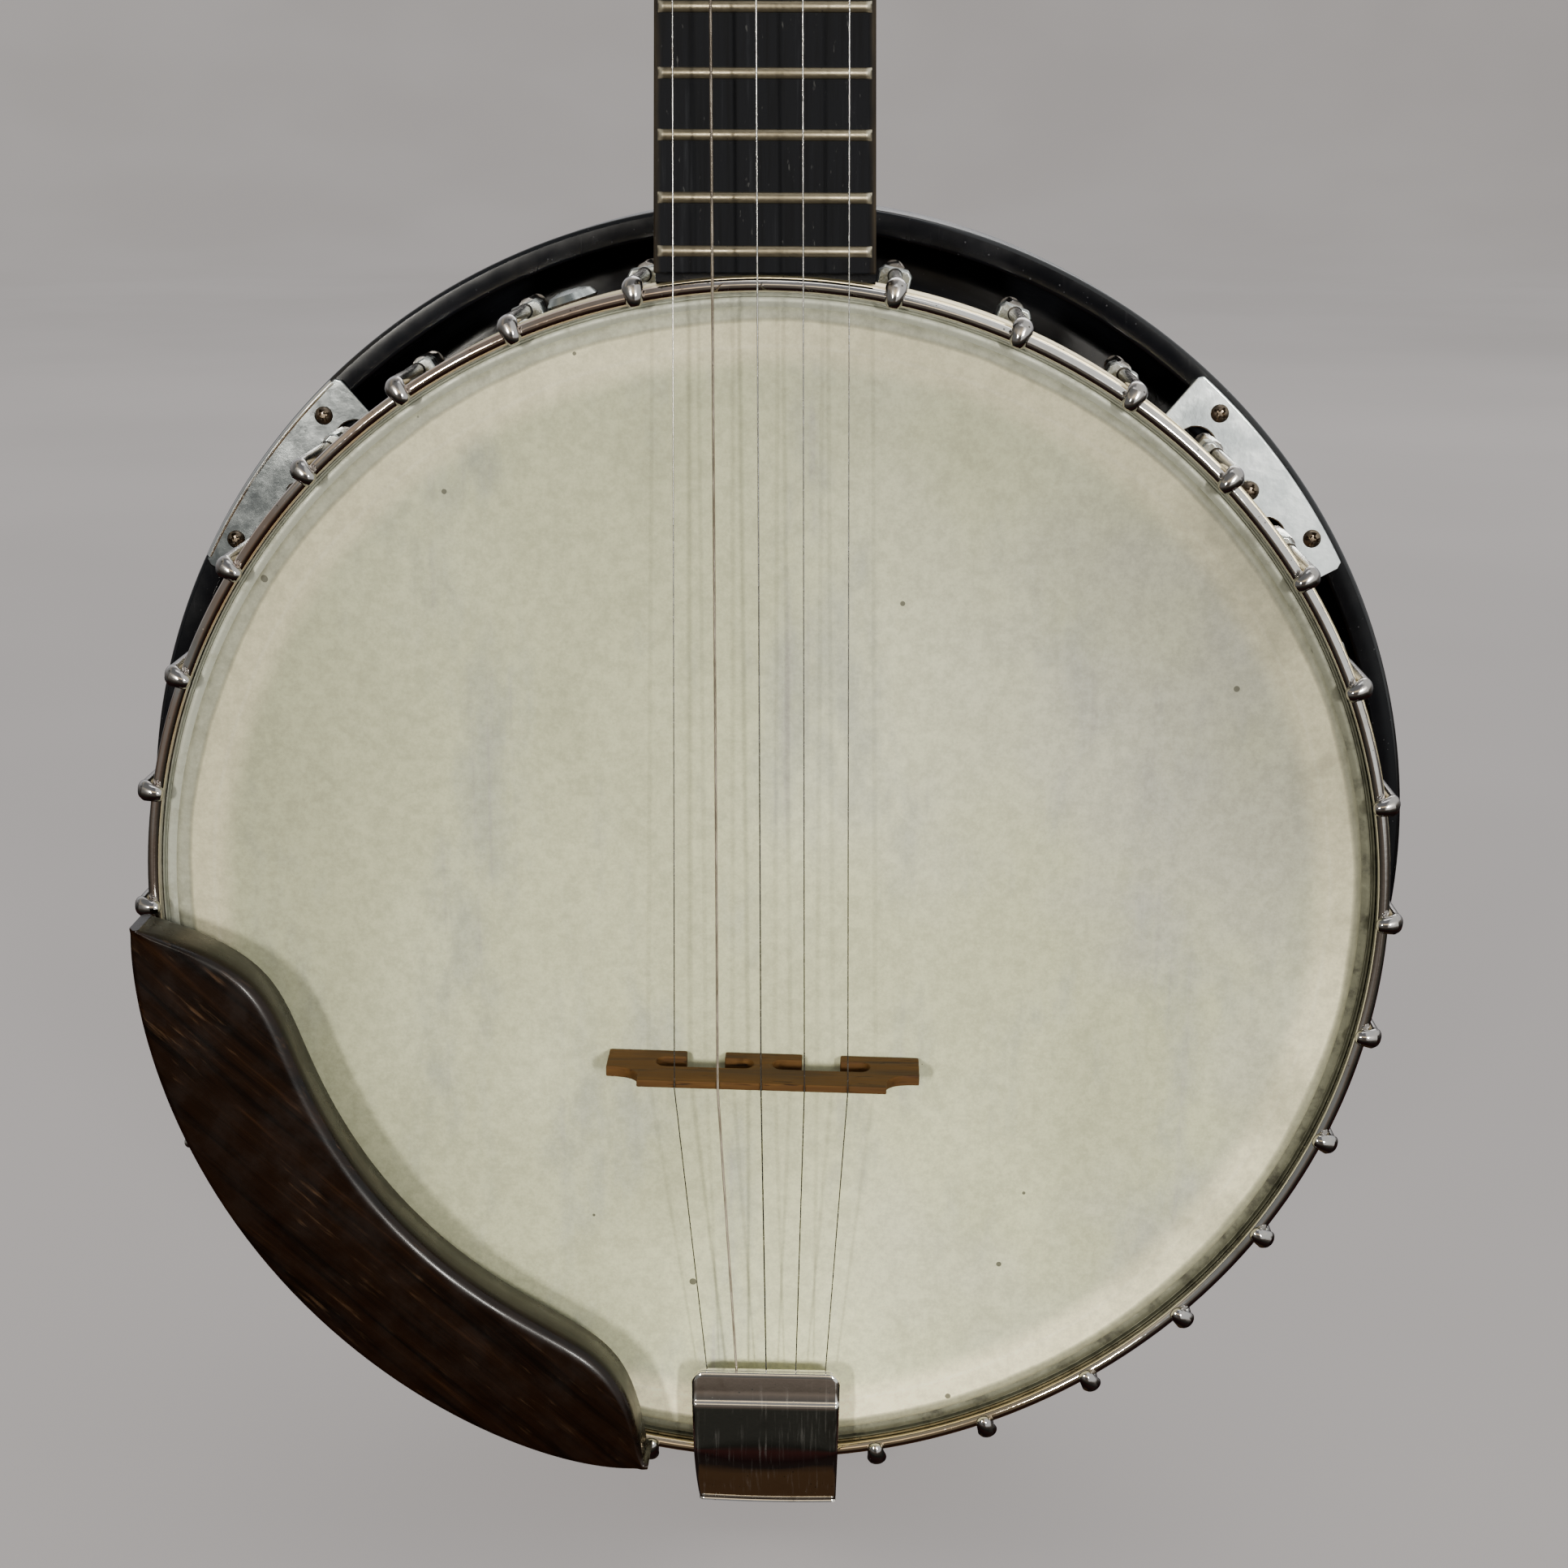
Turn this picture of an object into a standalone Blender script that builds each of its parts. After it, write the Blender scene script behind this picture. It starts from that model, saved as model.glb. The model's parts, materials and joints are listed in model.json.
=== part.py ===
"""Five-string resonator banjo, made of the pieces that it comes apart into.

Metres, +Z up the neck, head facing -Y, origin in the middle of the resonator's flat back.
Sizes below are millimetres. "Depth" runs back from the middle of the tension hoop's bead, along +Y,
and "degrees" run clockwise from the neck, as seen from the front.
"""

import math

import bmesh
import bpy
from mathutils import Matrix, Vector

MM = 0.001

# Pot
BODY_DEPTH = 100.0  # hoop bead to the flat back
SEGMENTS = 64  # sides of every round pot piece, two to each hook position
HEAD_TOP = 1.2
HEAD_R = 139.8
RIM_OUTER = 138.8
RIM_INNER = 122.8
RIM_BACK = 72.0
BEAD_R = 144.0
BEAD_HALF = 1.7
HOOP_BOTTOM = 14.0
RESONATOR_R = 160.0
RESONATOR_FRONT = 54.0
RESONATOR_WALL = 6.0
FLAT_BACK_R = 100.0
FIT = 0.35  # gap left between neighbouring solids

# Hooks, shoes and flange plates
HOOK_POSITIONS = 32
HOOK_STEP = 360 / HOOK_POSITIONS
HOOK_R = 147.9
HOOK_ROD = 1.8
HOOK_NOSE = 2.3
HOOK_TOP = -4.6
SHOE_FRONT, SHOE_BACK = 28.0, 38.0
NUT_R, NUT_LENGTH = 3.9, 10.6
PLATE_FRONT, PLATE_THICK = 51.6, 2.0
PLATE_INNER, PLATE_OUTER = 142.6, 158.6
PLATE_HALF_ANGLE = 11.3
PLATE_CENTRES = (51.9, 128.1, 231.9, 308.1)
PLATE_NOTCHES = (45, 56.25, 123.75, 135, 225, 236.25, 303.75, 315)
PLATE_SCREW_ANGLE = 7.4

# Neck, on a scale of 673 mm from the bridge to the nut
BRIDGE_Z = -38.0
SCALE = 673.0
FRETS = 22
NUT_Z = BRIDGE_Z + SCALE
BOARD_TOP, BOARD_THICK = 0.2, 5.0
BOARD_END_Z = 146.4
FRET_HEIGHT = 1.1
FIFTH_STEP_Z = 478.0  # where the neck narrows past the fifth string
PEG_Z, PEG_DEPTH = 490.0, 9.0
HEAD_TILT = math.radians(12)
HEAD_THICK = 15.0
HEADSTOCK_LENGTH = 158.0
ROD_DEPTH, ROD_R = 42.0, 4.6

# Strings: string 1 is on the right, string 5 on the left
STRING_R = (0.16, 0.18, 0.21, 0.31, 0.16)
BRIDGE_X = (20.2, 10.1, 0.0, -10.1, -20.2)
NUT_X = (13.6, 4.9, -3.8, -11.9, -17.0)
TAIL_X = (15.5, 8.2, 0.9, -6.4, -13.7)
TUNERS = ((20.5, 44.0), (20.5, 98.0), (-20.5, 98.0), (-20.5, 44.0))  # across, up the headstock
STRING_ON_POST = 6.0

# Bridge and tailpiece
BRIDGE_TOP = -15.0
BRIDGE_TURN = math.radians(-0.9)
TAIL_CENTRE_X = 0.9
COVER_HALF = 18.45
HINGE_Z, HINGE_DEPTH = -155.0, 3.0

# Armrest
ARM_FRONT, ARM_BACK = -19.0, -7.4
ARM_OUTER, ARM_INNER = 146.2, 112.5
ARM_START, ARM_END = 270.0, 191.3

# Colour, metallic and roughness of each kind of surface
SURFACES = {
    "maple": ((0.30, 0.17, 0.08), 0.0, 0.42),
    "chrome": ((0.78, 0.77, 0.74), 1.0, 0.13),
    "nickel": ((0.80, 0.80, 0.78), 1.0, 0.24),
    "skin": ((0.62, 0.60, 0.50), 0.0, 0.62),
    "black_lacquer": ((0.012, 0.013, 0.016), 0.0, 0.22),
    "ebony": ((0.018, 0.018, 0.020), 0.0, 0.48),
    "walnut": ((0.070, 0.036, 0.020), 0.0, 0.38),
    "bridge_maple": ((0.33, 0.19, 0.09), 0.0, 0.55),
    "bone": ((0.78, 0.73, 0.60), 0.0, 0.35),
    "steel": ((0.70, 0.69, 0.66), 1.0, 0.25),
    "bronze": ((0.42, 0.27, 0.17), 1.0, 0.38),
    "pearl_plastic": ((0.80, 0.77, 0.68), 0.0, 0.25),
}


def at(across, depth, up):
    return Vector((across * MM, (depth - BODY_DEPTH) * MM, up * MM))


def around(radius, depth, degrees):
    turn = math.radians(degrees)
    return at(radius * math.sin(turn), depth, radius * math.cos(turn))


def clear_scene():
    for obj in list(bpy.data.objects):
        bpy.data.objects.remove(obj, do_unlink=True)


def material_for(name, surface):
    colour, metallic, roughness = SURFACES[surface]
    material = bpy.data.materials.new(f"{name}_{surface}")
    material.use_nodes = True
    shader = material.node_tree.nodes["Principled BSDF"]
    shader.inputs["Base Color"].default_value = (*colour, 1.0)
    shader.inputs["Metallic"].default_value = metallic
    shader.inputs["Roughness"].default_value = roughness
    material.diffuse_color = (*colour, 1.0)
    return material


def finish(name, bm, surface, origin=None, sharp=35):
    """One object from a closed mesh in world space, with its origin moved to the given point."""
    bmesh.ops.recalc_face_normals(bm, faces=bm.faces)
    mesh = bpy.data.meshes.new(name)
    bm.to_mesh(mesh)
    bm.free()
    for polygon in mesh.polygons:
        polygon.use_smooth = True
    mesh.set_sharp_from_angle(angle=math.radians(sharp))
    obj = bpy.data.objects.new(name, mesh)
    bpy.context.scene.collection.objects.link(obj)
    if origin is not None:
        mesh.transform(Matrix.Translation(-origin))
        obj.location = origin
    if surface:
        mesh.materials.append(material_for(name, surface))
    return obj


def helper(name, bm):
    """A cutter, or a shape to join on, that isn't a sub-part of its own."""
    obj = finish(name, bm, None)
    obj.hide_render = True
    obj.display_type = "WIRE"
    return obj


def boolean(obj, other, operation):
    modifier = obj.modifiers.new(f"{operation.lower()}_{other.name}", "BOOLEAN")
    modifier.operation = operation
    modifier.solver = "EXACT"
    modifier.object = other


def bevel(obj, width, segments=2, angle=40):
    modifier = obj.modifiers.new("bevel", "BEVEL")
    modifier.width = width * MM
    modifier.segments = segments
    modifier.limit_method = "ANGLE"
    modifier.angle_limit = math.radians(angle)


def lathe(bm, profile, steps=SEGMENTS):
    """Turns a closed profile of (radius, depth) points about the pot's axis."""
    corners = [bm.verts.new(around(radius, depth, 0)) for radius, depth in profile]
    edges = [bm.edges.new((corners[i - 1], corners[i])) for i in range(len(corners))]
    bmesh.ops.spin(
        bm,
        geom=corners + edges,
        cent=at(0, 0, 0),
        axis=(0, 1, 0),
        angle=2 * math.pi,
        steps=steps,
        use_merge=True,
    )
    bmesh.ops.remove_doubles(bm, verts=bm.verts, dist=1e-7)


def loft(bm, rings):
    """A skin over rings of matching points, closed at both ends."""
    rows = [[bm.verts.new(point) for point in ring] for ring in rings]
    count = len(rows[0])
    for low, high in zip(rows, rows[1:]):
        for i in range(count):
            bm.faces.new((low[i - 1], low[i], high[i], high[i - 1]))
    bm.faces.new(rows[0])
    bm.faces.new(reversed(rows[-1]))


def prism(bm, outline, shift):
    loft(bm, [outline, [point + shift for point in outline]])


def sweep(bm, path, sides=6):
    """A rod along (point, radius) pairs. Two pairs at one point make a step in its width."""
    points = [point for point, _ in path]
    rings, side = [], None
    for i, (point, radius) in enumerate(path):
        before = next((p for p in reversed(points[:i]) if (point - p).length > 1e-6), point)
        after = next((p for p in points[i + 1 :] if (point - p).length > 1e-6), point)
        along = ((point - before).normalized() + (after - point).normalized()).normalized()
        if side is None:
            side = along.orthogonal().normalized()
        side = (side - along * side.dot(along)).normalized()
        other = along.cross(side)
        turns = [2 * math.pi * k / sides for k in range(sides)]
        rings.append(
            [point + (side * math.cos(t) + other * math.sin(t)) * radius * MM for t in turns]
        )
    loft(bm, rings)


def fret_z(number):
    return BRIDGE_Z + SCALE * 2 ** (-number / 12)


def board_edges(z):
    """Left and right side of the fingerboard at this height."""
    right = 24.2 - 0.0142 * (z - BOARD_END_Z)
    left = -right if z < FIFTH_STEP_Z else -15.4 + 0.004 * (z - FIFTH_STEP_Z)
    return left, right


# Pot


def make_rim():
    bm = bmesh.new()
    front = HEAD_TOP + 1.0
    lathe(
        bm,
        (
            (RIM_OUTER - 1.5, front),
            (RIM_OUTER, front + 1.5),
            (RIM_OUTER, RIM_BACK),
            (RIM_INNER, RIM_BACK),
            (RIM_INNER, front + 3),
            (RIM_OUTER - 5, front + 1),
        ),
    )
    rim = finish("rim", bm, "maple")
    shoes, holes = bmesh.new(), bmesh.new()
    half = 3.4
    for degrees in hook_degrees():
        spin = Matrix.Rotation(math.radians(degrees), 3, "Y")
        outline = ((RIM_OUTER - 2, -half), (HOOK_R + 2.2, -half), (HOOK_R + 2.9, -half + 0.8))
        outline += tuple((radius, -across) for radius, across in reversed(outline))
        prism(
            shoes,
            [spin_about(spin, across, SHOE_FRONT, radius) for radius, across in outline],
            Vector((0, (SHOE_BACK - SHOE_FRONT) * MM, 0)),
        )
        sweep(
            holes,
            [
                (around(HOOK_R, SHOE_FRONT - 2, degrees), HOOK_ROD + FIT),
                (around(HOOK_R, SHOE_BACK + 2, degrees), HOOK_ROD + FIT),
            ],
            sides=6,
        )
    boolean(rim, helper("shoe_blocks", shoes), "UNION")
    boolean(rim, helper("shoe_holes", holes), "DIFFERENCE")
    for end, sign in (("neck", 1), ("tail", -1)):
        bore = bmesh.new()
        path = [(at(0, ROD_DEPTH, sign * r), ROD_R + FIT) for r in (RIM_INNER - 8, RIM_OUTER + 8)]
        sweep(bore, path, sides=10)
        boolean(rim, helper(f"rod_hole_{end}", bore), "DIFFERENCE")


def spin_about(spin, across, depth, up):
    point = at(across, depth, up)
    return spin @ Vector((point.x, 0, point.z)) + Vector((0, point.y, 0))


def hook_degrees():
    """Every hook position but the two that the neck and the tailpiece take."""
    return [i * HOOK_STEP for i in range(HOOK_POSITIONS) if i % (HOOK_POSITIONS // 2)]


def make_head():
    bm = bmesh.new()
    skin = 0.7
    lathe(
        bm,
        (
            (0, HEAD_TOP),
            (HEAD_R - 0.8, HEAD_TOP),
            (HEAD_R, HEAD_TOP + 0.8),
            (HEAD_R, 5.6),
            (HEAD_R + 2.1, 5.6),
            (HEAD_R + 2.1, 11.0),
            (RIM_OUTER + FIT, 11.0),
            (RIM_OUTER + FIT, HEAD_TOP + skin + 1.3),
            (RIM_OUTER - 1.4, HEAD_TOP + skin),
            (0, HEAD_TOP + skin),
        ),
    )
    finish("head", bm, "skin")


def make_tension_hoop():
    bm = bmesh.new()
    bead = [
        (BEAD_R + BEAD_HALF * math.cos(t), -BEAD_HALF * math.sin(t))
        for t in (math.radians(45 * k) for k in range(5))
    ]
    inner, ledge = BEAD_R - BEAD_HALF, HEAD_R + FIT
    lathe(
        bm,
        bead
        + [
            (inner, 2.6),
            (ledge, 2.6),
            (ledge, 5.6 - FIT),
            (inner, 5.6 - FIT),
            (inner, HOOP_BOTTOM),
            (BEAD_R + 0.9, HOOP_BOTTOM),
            (BEAD_R + 0.9, 1.2),
        ],
    )
    finish("tension_hoop", bm, "chrome")


def make_hooks():
    nut_front = SHOE_BACK + FIT
    nut_back = nut_front + NUT_LENGTH
    bend = -HOOK_TOP - 1.3
    rod = (
        (HOOK_R, nut_back + 2, HOOK_ROD),
        (HOOK_R, nut_back, HOOK_ROD),
        (HOOK_R, nut_back, NUT_R),
        (HOOK_R, nut_front, NUT_R),
        (HOOK_R, nut_front, HOOK_ROD),
        (HOOK_R, HOOK_TOP + bend, HOOK_ROD),
        (HOOK_R - 0.3 * bend, HOOK_TOP + 0.3 * bend, HOOK_NOSE - 0.2),
        (HOOK_R - bend, HOOK_TOP, HOOK_NOSE),
        (BEAD_R - 0.7, HOOK_TOP + 0.4, HOOK_NOSE - 0.4),
        (BEAD_R - 1.9, HOOK_TOP + 1.7, 1.2),
    )
    for number, degrees in enumerate(hook_degrees(), 1):
        bm = bmesh.new()
        sweep(bm, [(around(radius, depth, degrees), size) for radius, depth, size in rod])
        finish(f"tension_hook_{number:02d}", bm, "chrome")


def make_resonator():
    bm = bmesh.new()
    inner = RESONATOR_R - RESONATOR_WALL
    lathe(
        bm,
        (
            (0, BODY_DEPTH),
            (FLAT_BACK_R, BODY_DEPTH),
            (RESONATOR_R - 9, BODY_DEPTH - 1.6),
            (RESONATOR_R - 2.5, BODY_DEPTH - 4),
            (RESONATOR_R, BODY_DEPTH - 9),
            (RESONATOR_R, RESONATOR_FRONT + 1),
            (RESONATOR_R - 1, RESONATOR_FRONT),
            (inner, RESONATOR_FRONT),
            (inner, BODY_DEPTH - 11),
            (inner - 8, BODY_DEPTH - 6.6),
            (0, BODY_DEPTH - 5),
        ),
    )
    resonator = finish("resonator", bm, "black_lacquer")
    lugs = bmesh.new()
    half = 5.0
    for centre in PLATE_CENTRES:
        for side in (-1, 1):
            spin = Matrix.Rotation(math.radians(centre + side * PLATE_SCREW_ANGLE), 3, "Y")
            outline = ((146.5, -half), (inner + 2, -half), (inner + 2, half), (146.5, half))
            prism(
                lugs,
                [spin_about(spin, x, RESONATOR_FRONT + 0.5, r) for r, x in outline],
                Vector((0, 18 * MM, 0)),
            )
    boolean(resonator, helper("plate_lugs", lugs), "UNION")


def make_flange_plates():
    notches = bmesh.new()
    for degrees in PLATE_NOTCHES:
        path = [(around(HOOK_R - 2.3, depth, degrees), 5.1) for depth in (45, 60)]
        sweep(notches, path, sides=12)
    notches = helper("plate_notches", notches)
    steps = 8
    for number, centre in enumerate(PLATE_CENTRES, 1):
        bm = bmesh.new()
        spread = [centre + PLATE_HALF_ANGLE * (2 * i / steps - 1) for i in range(steps + 1)]
        outline = [around(PLATE_OUTER, PLATE_FRONT, a) for a in spread]
        outline += [around(PLATE_INNER, PLATE_FRONT, a) for a in reversed(spread)]
        prism(bm, outline, Vector((0, PLATE_THICK * MM, 0)))
        plate = finish(f"flange_plate_{number}", bm, "nickel")
        boolean(plate, notches, "DIFFERENCE")


def make_coordinator_rod():
    bm = bmesh.new()
    sweep(bm, [(at(0, ROD_DEPTH, z), ROD_R) for z in (RIM_OUTER - 0.3, -148.6)], sides=10)
    finish("coordinator_rod", bm, "steel")


# Neck


def neck_ring(z, top, back):
    """A section of the neck: flat under the fingerboard and rounded behind."""
    left, right = board_edges(z)
    middle, half = (left + right) / 2, (right - left) / 2
    ring = []
    for k in range(11):
        turn = math.pi * k / 10
        bulge = (back - top) * math.sin(turn) ** 0.75
        ring.append(at(middle - half * math.cos(turn), top + bulge, z))
    return ring


def make_neck():
    top = BOARD_TOP + BOARD_THICK + FIT
    stations = (
        (131, top, 50),
        (152, top, 49),
        (166, top, 44),
        (180, top, 34),
        (194, top, 27.5),
        (214, top, 25),
        (FIFTH_STEP_Z - 0.1, top, 23),
        (FIFTH_STEP_Z + 1.5, top, 23),
        (NUT_Z + 5, top, top + HEAD_THICK),
        (NUT_Z + 20, top + 4.2, top + 17.5),
    )
    bm = bmesh.new()
    loft(bm, [neck_ring(*station) for station in stations])
    neck = finish("neck", bm, "black_lacquer")

    headstock = bmesh.new()
    outline = headstock_outline()
    prism(
        headstock,
        [on_headstock(across, up, 0) for across, up in outline],
        on_headstock(0, 0, -HEAD_THICK) - on_headstock(0, 0, 0),
    )
    boolean(neck, helper("headstock_blank", headstock), "UNION")
    housings, bores = bmesh.new(), bmesh.new()
    for across, up in TUNERS:
        sweep(housings, tuner_path(across, up, ((-14, 8.5), (-28, 8.0))), sides=12)
        sweep(bores, tuner_path(across, up, ((3, 3.7), (-10.5, 3.7))), sides=8)
        sweep(bores, tuner_path(across, up, ((-20.5, 2.8), (-31, 2.8))), sides=8)
    boolean(neck, helper("tuner_housings", housings), "UNION")
    boolean(neck, helper("tuner_bores", bores), "DIFFERENCE")
    for name, radius, depths in (
        ("heel_seat", RIM_OUTER + FIT, (-20, 90)),
        ("hoop_clearance", BEAD_R + 2.1, (-20, HOOP_BOTTOM + 1)),
    ):
        cutter = bmesh.new()
        sweep(cutter, [(at(0, depth, 0), radius) for depth in depths], SEGMENTS)
        boolean(neck, helper(name, cutter), "DIFFERENCE")
    bore = bmesh.new()
    left = board_edges(PEG_Z)[0]
    path = [(at(x, PEG_DEPTH, PEG_Z), 3.1) for x in (left - 4, left + 9)]
    sweep(bore, path, sides=8)
    boolean(neck, helper("peg_bore", bore), "DIFFERENCE")


def headstock_outline():
    """Half of a plain waisted headstock from the nut to the tip, then mirrored."""
    half = ((17.0, 0), (18.5, 9), (27, 20), (32, 31), (32.5, 52), (29.5, 70), (29, 84))
    half += ((32, 98), (33, 112), (29, 124), (25, 132), (24, 141), (17, 151), (7, 156.5))
    tip = ((0, HEADSTOCK_LENGTH),)
    return half + tip + tuple((-across, up) for across, up in reversed(half))


def on_headstock(across, up, out):
    """A point of the tilted headstock: out is measured forward from its face."""
    slope, rise = math.sin(HEAD_TILT), math.cos(HEAD_TILT)
    top = BOARD_TOP + BOARD_THICK + FIT
    return at(across, top + up * slope - out * rise, NUT_Z + 5 + up * rise + out * slope)


def tuner_path(across, up, steps):
    return [(on_headstock(across, up, out), radius) for out, radius in steps]


def make_fingerboard():
    bottom = BOARD_TOP + BOARD_THICK
    rings = []

    def add(z, top):
        left, right = board_edges(z)
        rings.append([at(left, top, z), at(right, top, z), at(right, bottom, z), at(left, bottom, z)])

    add(BOARD_END_Z, BOARD_TOP)
    crown = BOARD_TOP - FRET_HEIGHT
    for number in range(FRETS, 0, -1):
        z = fret_z(number)
        if rings[-1][0].z < FIFTH_STEP_Z * MM < z * MM:
            add(FIFTH_STEP_Z - 0.01, BOARD_TOP)
            add(FIFTH_STEP_Z + 1.5, BOARD_TOP)
        for shift, top in ((-1.1, BOARD_TOP), (-0.5, crown), (0.5, crown), (1.1, BOARD_TOP)):
            add(z + shift, top)
    add(NUT_Z - FIT, BOARD_TOP)
    bm = bmesh.new()
    loft(bm, rings)
    board = finish("fingerboard", bm, "ebony")
    pip = bmesh.new()
    sweep(pip, [(at(NUT_X[4], depth, FIFTH_STEP_Z - 3.5), 1.3) for depth in (2, -1.5)], sides=8)
    boolean(board, helper("fifth_pip", pip), "UNION")


def make_string_nut():
    bm = bmesh.new()
    left, right = board_edges(NUT_Z)
    bottom = BOARD_TOP + BOARD_THICK
    outline = [at(x, d, NUT_Z) for x, d in ((left, -1.5), (right, -1.5), (right, bottom), (left, bottom))]
    prism(bm, outline, Vector((0, 0, 4.9 * MM)))
    nut = finish("string_nut", bm, "bone")
    bevel(nut, 0.5, 1)


def make_tuners():
    for number, (across, up) in enumerate(TUNERS, 1):
        axis = on_headstock(across, up, 0)
        bm = bmesh.new()
        post = ((-10, 3.2), (4.5, 3.2), (6, 2.5), (8, 3.2), (16, 3.2))
        sweep(bm, tuner_path(across, up, post), sides=8)
        finish(f"tuner_post_{number}", bm, "nickel", axis)
        bm = bmesh.new()
        button = ((-21, 2.3), (-30, 2.3), (-30, 5), (-32.5, 9), (-39, 10.5), (-42, 7.5))
        sweep(bm, tuner_path(across, up, button), sides=12)
        middle = on_headstock(across, up, -36)
        squash = Matrix.Scale(0.55, 4, Vector((0, math.sin(HEAD_TILT), math.cos(HEAD_TILT))))
        knob = [v for v in bm.verts if (v.co - axis).length > 29 * MM]
        bmesh.ops.transform(bm, matrix=squash, space=Matrix.Translation(-middle), verts=knob)
        finish(f"tuner_button_{number}", bm, "pearl_plastic", axis)


def make_fifth_peg():
    bm = bmesh.new()
    left = board_edges(PEG_Z)[0]
    depth = PEG_DEPTH
    peg = ((6.0, 2.6), (-0.5, 2.6), (-0.5, 3.4), (-6, 3.0), (-6, 6), (-14, 6), (-14, 2.4))
    peg += ((-18, 2.4), (-18, 6), (-21, 8.5), (-29, 9.5), (-32, 6.5))
    sweep(bm, [(at(left + x, depth, PEG_Z), radius) for x, radius in peg], sides=12)
    middle = at(left, depth, PEG_Z)
    knob = [v for v in bm.verts if v.co.x < middle.x - 17.9 * MM]
    squash = Matrix.Scale(0.5, 4, Vector((0, 1, 0)))
    bmesh.ops.transform(bm, matrix=squash, space=Matrix.Translation(-middle), verts=knob)
    finish("fifth_peg", bm, "pearl_plastic", middle)


# Strings and what holds them


def make_strings():
    over_bridge, over_nut = BRIDGE_TOP - 0.6, -2.1
    for i, radius in enumerate(STRING_R):
        path = [
            at(TAIL_X[i], -5.1, -143.0),
            at(TAIL_X[i], -5.7, -118.0),
            at(BRIDGE_X[i], over_bridge, BRIDGE_Z - 0.6),
            at(BRIDGE_X[i], over_bridge, BRIDGE_Z + 0.6),
        ]
        if i < 4:
            across, up = TUNERS[i]
            inside = across - math.copysign(2.5 + radius + FIT, across)
            path += [
                at(NUT_X[i], over_nut, NUT_Z),
                at(NUT_X[i], over_nut, NUT_Z + 4.9),
                on_headstock(inside, up + 1, STRING_ON_POST),
            ]
        else:
            edge = board_edges(PEG_Z)[0]
            path += [
                at(NUT_X[i], over_nut, FIFTH_STEP_Z - 3.5),
                at(edge - 3.2, PEG_DEPTH - 3.4 - radius - FIT, PEG_Z + 0.5),
            ]
        bm = bmesh.new()
        sweep(bm, [(point, radius) for point in path])
        finish(f"string_{i + 1}", bm, "bronze" if i == 3 else "steel", sharp=80)


def make_bridge():
    """Three feet, a long slot through each pair, and a thin string edge, turned a little."""
    half_top, half_foot, height = 29.2, 37.0, HEAD_TOP - FIT - BRIDGE_TOP
    gap, slot, middle, round_end = (9.2, 18.3), (4.6, 23.0), 5.3, 2.0
    ends = [math.pi * k / 4 for k in range(5)]
    near = [(slot[0] - round_end * math.sin(t), middle - round_end * math.cos(t)) for t in ends]
    far = [(slot[1] + round_end * math.sin(t), middle + round_end * math.cos(t)) for t in ends]
    right = [(gap[0], 0), (gap[0], middle - round_end)] + near + far
    right += [(gap[1], middle - round_end), (gap[1], 0), (half_foot, 0), (half_foot, 9.2)]
    right += [(33.5, 9.6), (31.0, 10.6), (29.6, 12.2), (half_top, height)]
    outline = right + [(-u, h) for u, h in reversed(right)]
    faces = []
    for side in (-1, 1):
        ring = []
        for u, h in outline:
            thick = 1.9 + (0.9 - 1.9) * h / height
            across = u * math.cos(BRIDGE_TURN) - side * thick * math.sin(BRIDGE_TURN)
            up = u * math.sin(BRIDGE_TURN) + side * thick * math.cos(BRIDGE_TURN)
            ring.append(at(across, HEAD_TOP - FIT - h, BRIDGE_Z + up))
        faces.append(ring)
    bm = bmesh.new()
    loft(bm, faces)
    finish("bridge", bm, "bridge_maple")


def side_profile(bm, points, left, right):
    """A shape seen from the side, as (up, depth) points, drawn out from left to right."""
    prism(bm, [at(left, depth, up) for up, depth in points], Vector(((right - left) * MM, 0, 0)))


def make_tailpiece_base():
    bm = bmesh.new()
    front = ((-118.6, -4.9), (-146.2, -4.1), (-149.6, -2.4), (-150.9, 1.0), (-150.9, 14))
    back = ((-149.4, 14), (-149.4, 1.2), (-148.4, -1.4), (-145.9, -2.6), (-118.6, -3.3))
    side_profile(bm, front + back, TAIL_CENTRE_X - 16.2, TAIL_CENTRE_X + 16.2)
    base = finish("tailpiece_base", bm, "chrome")
    strap = bmesh.new()
    outline = ((-149.4, 8), (-150.9, 8), (-150.9, 50), (-149.4, 50))
    side_profile(strap, outline, TAIL_CENTRE_X - 7, TAIL_CENTRE_X + 7)
    boolean(base, helper("tail_strap", strap), "UNION")
    pin = bmesh.new()
    path = [(at(TAIL_CENTRE_X + x, HINGE_DEPTH, HINGE_Z), 1.6) for x in (-16.9, 16.9)]
    sweep(pin, path, sides=10)
    boolean(base, helper("hinge_pin", pin), "UNION")
    web = bmesh.new()
    outline = ((-150.0, 1.9), (-155.2, 2.0), (-155.2, 4.0), (-150.0, 4.1))
    side_profile(web, outline, TAIL_CENTRE_X - 6, TAIL_CENTRE_X + 6)
    boolean(base, helper("hinge_web", web), "UNION")


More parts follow.
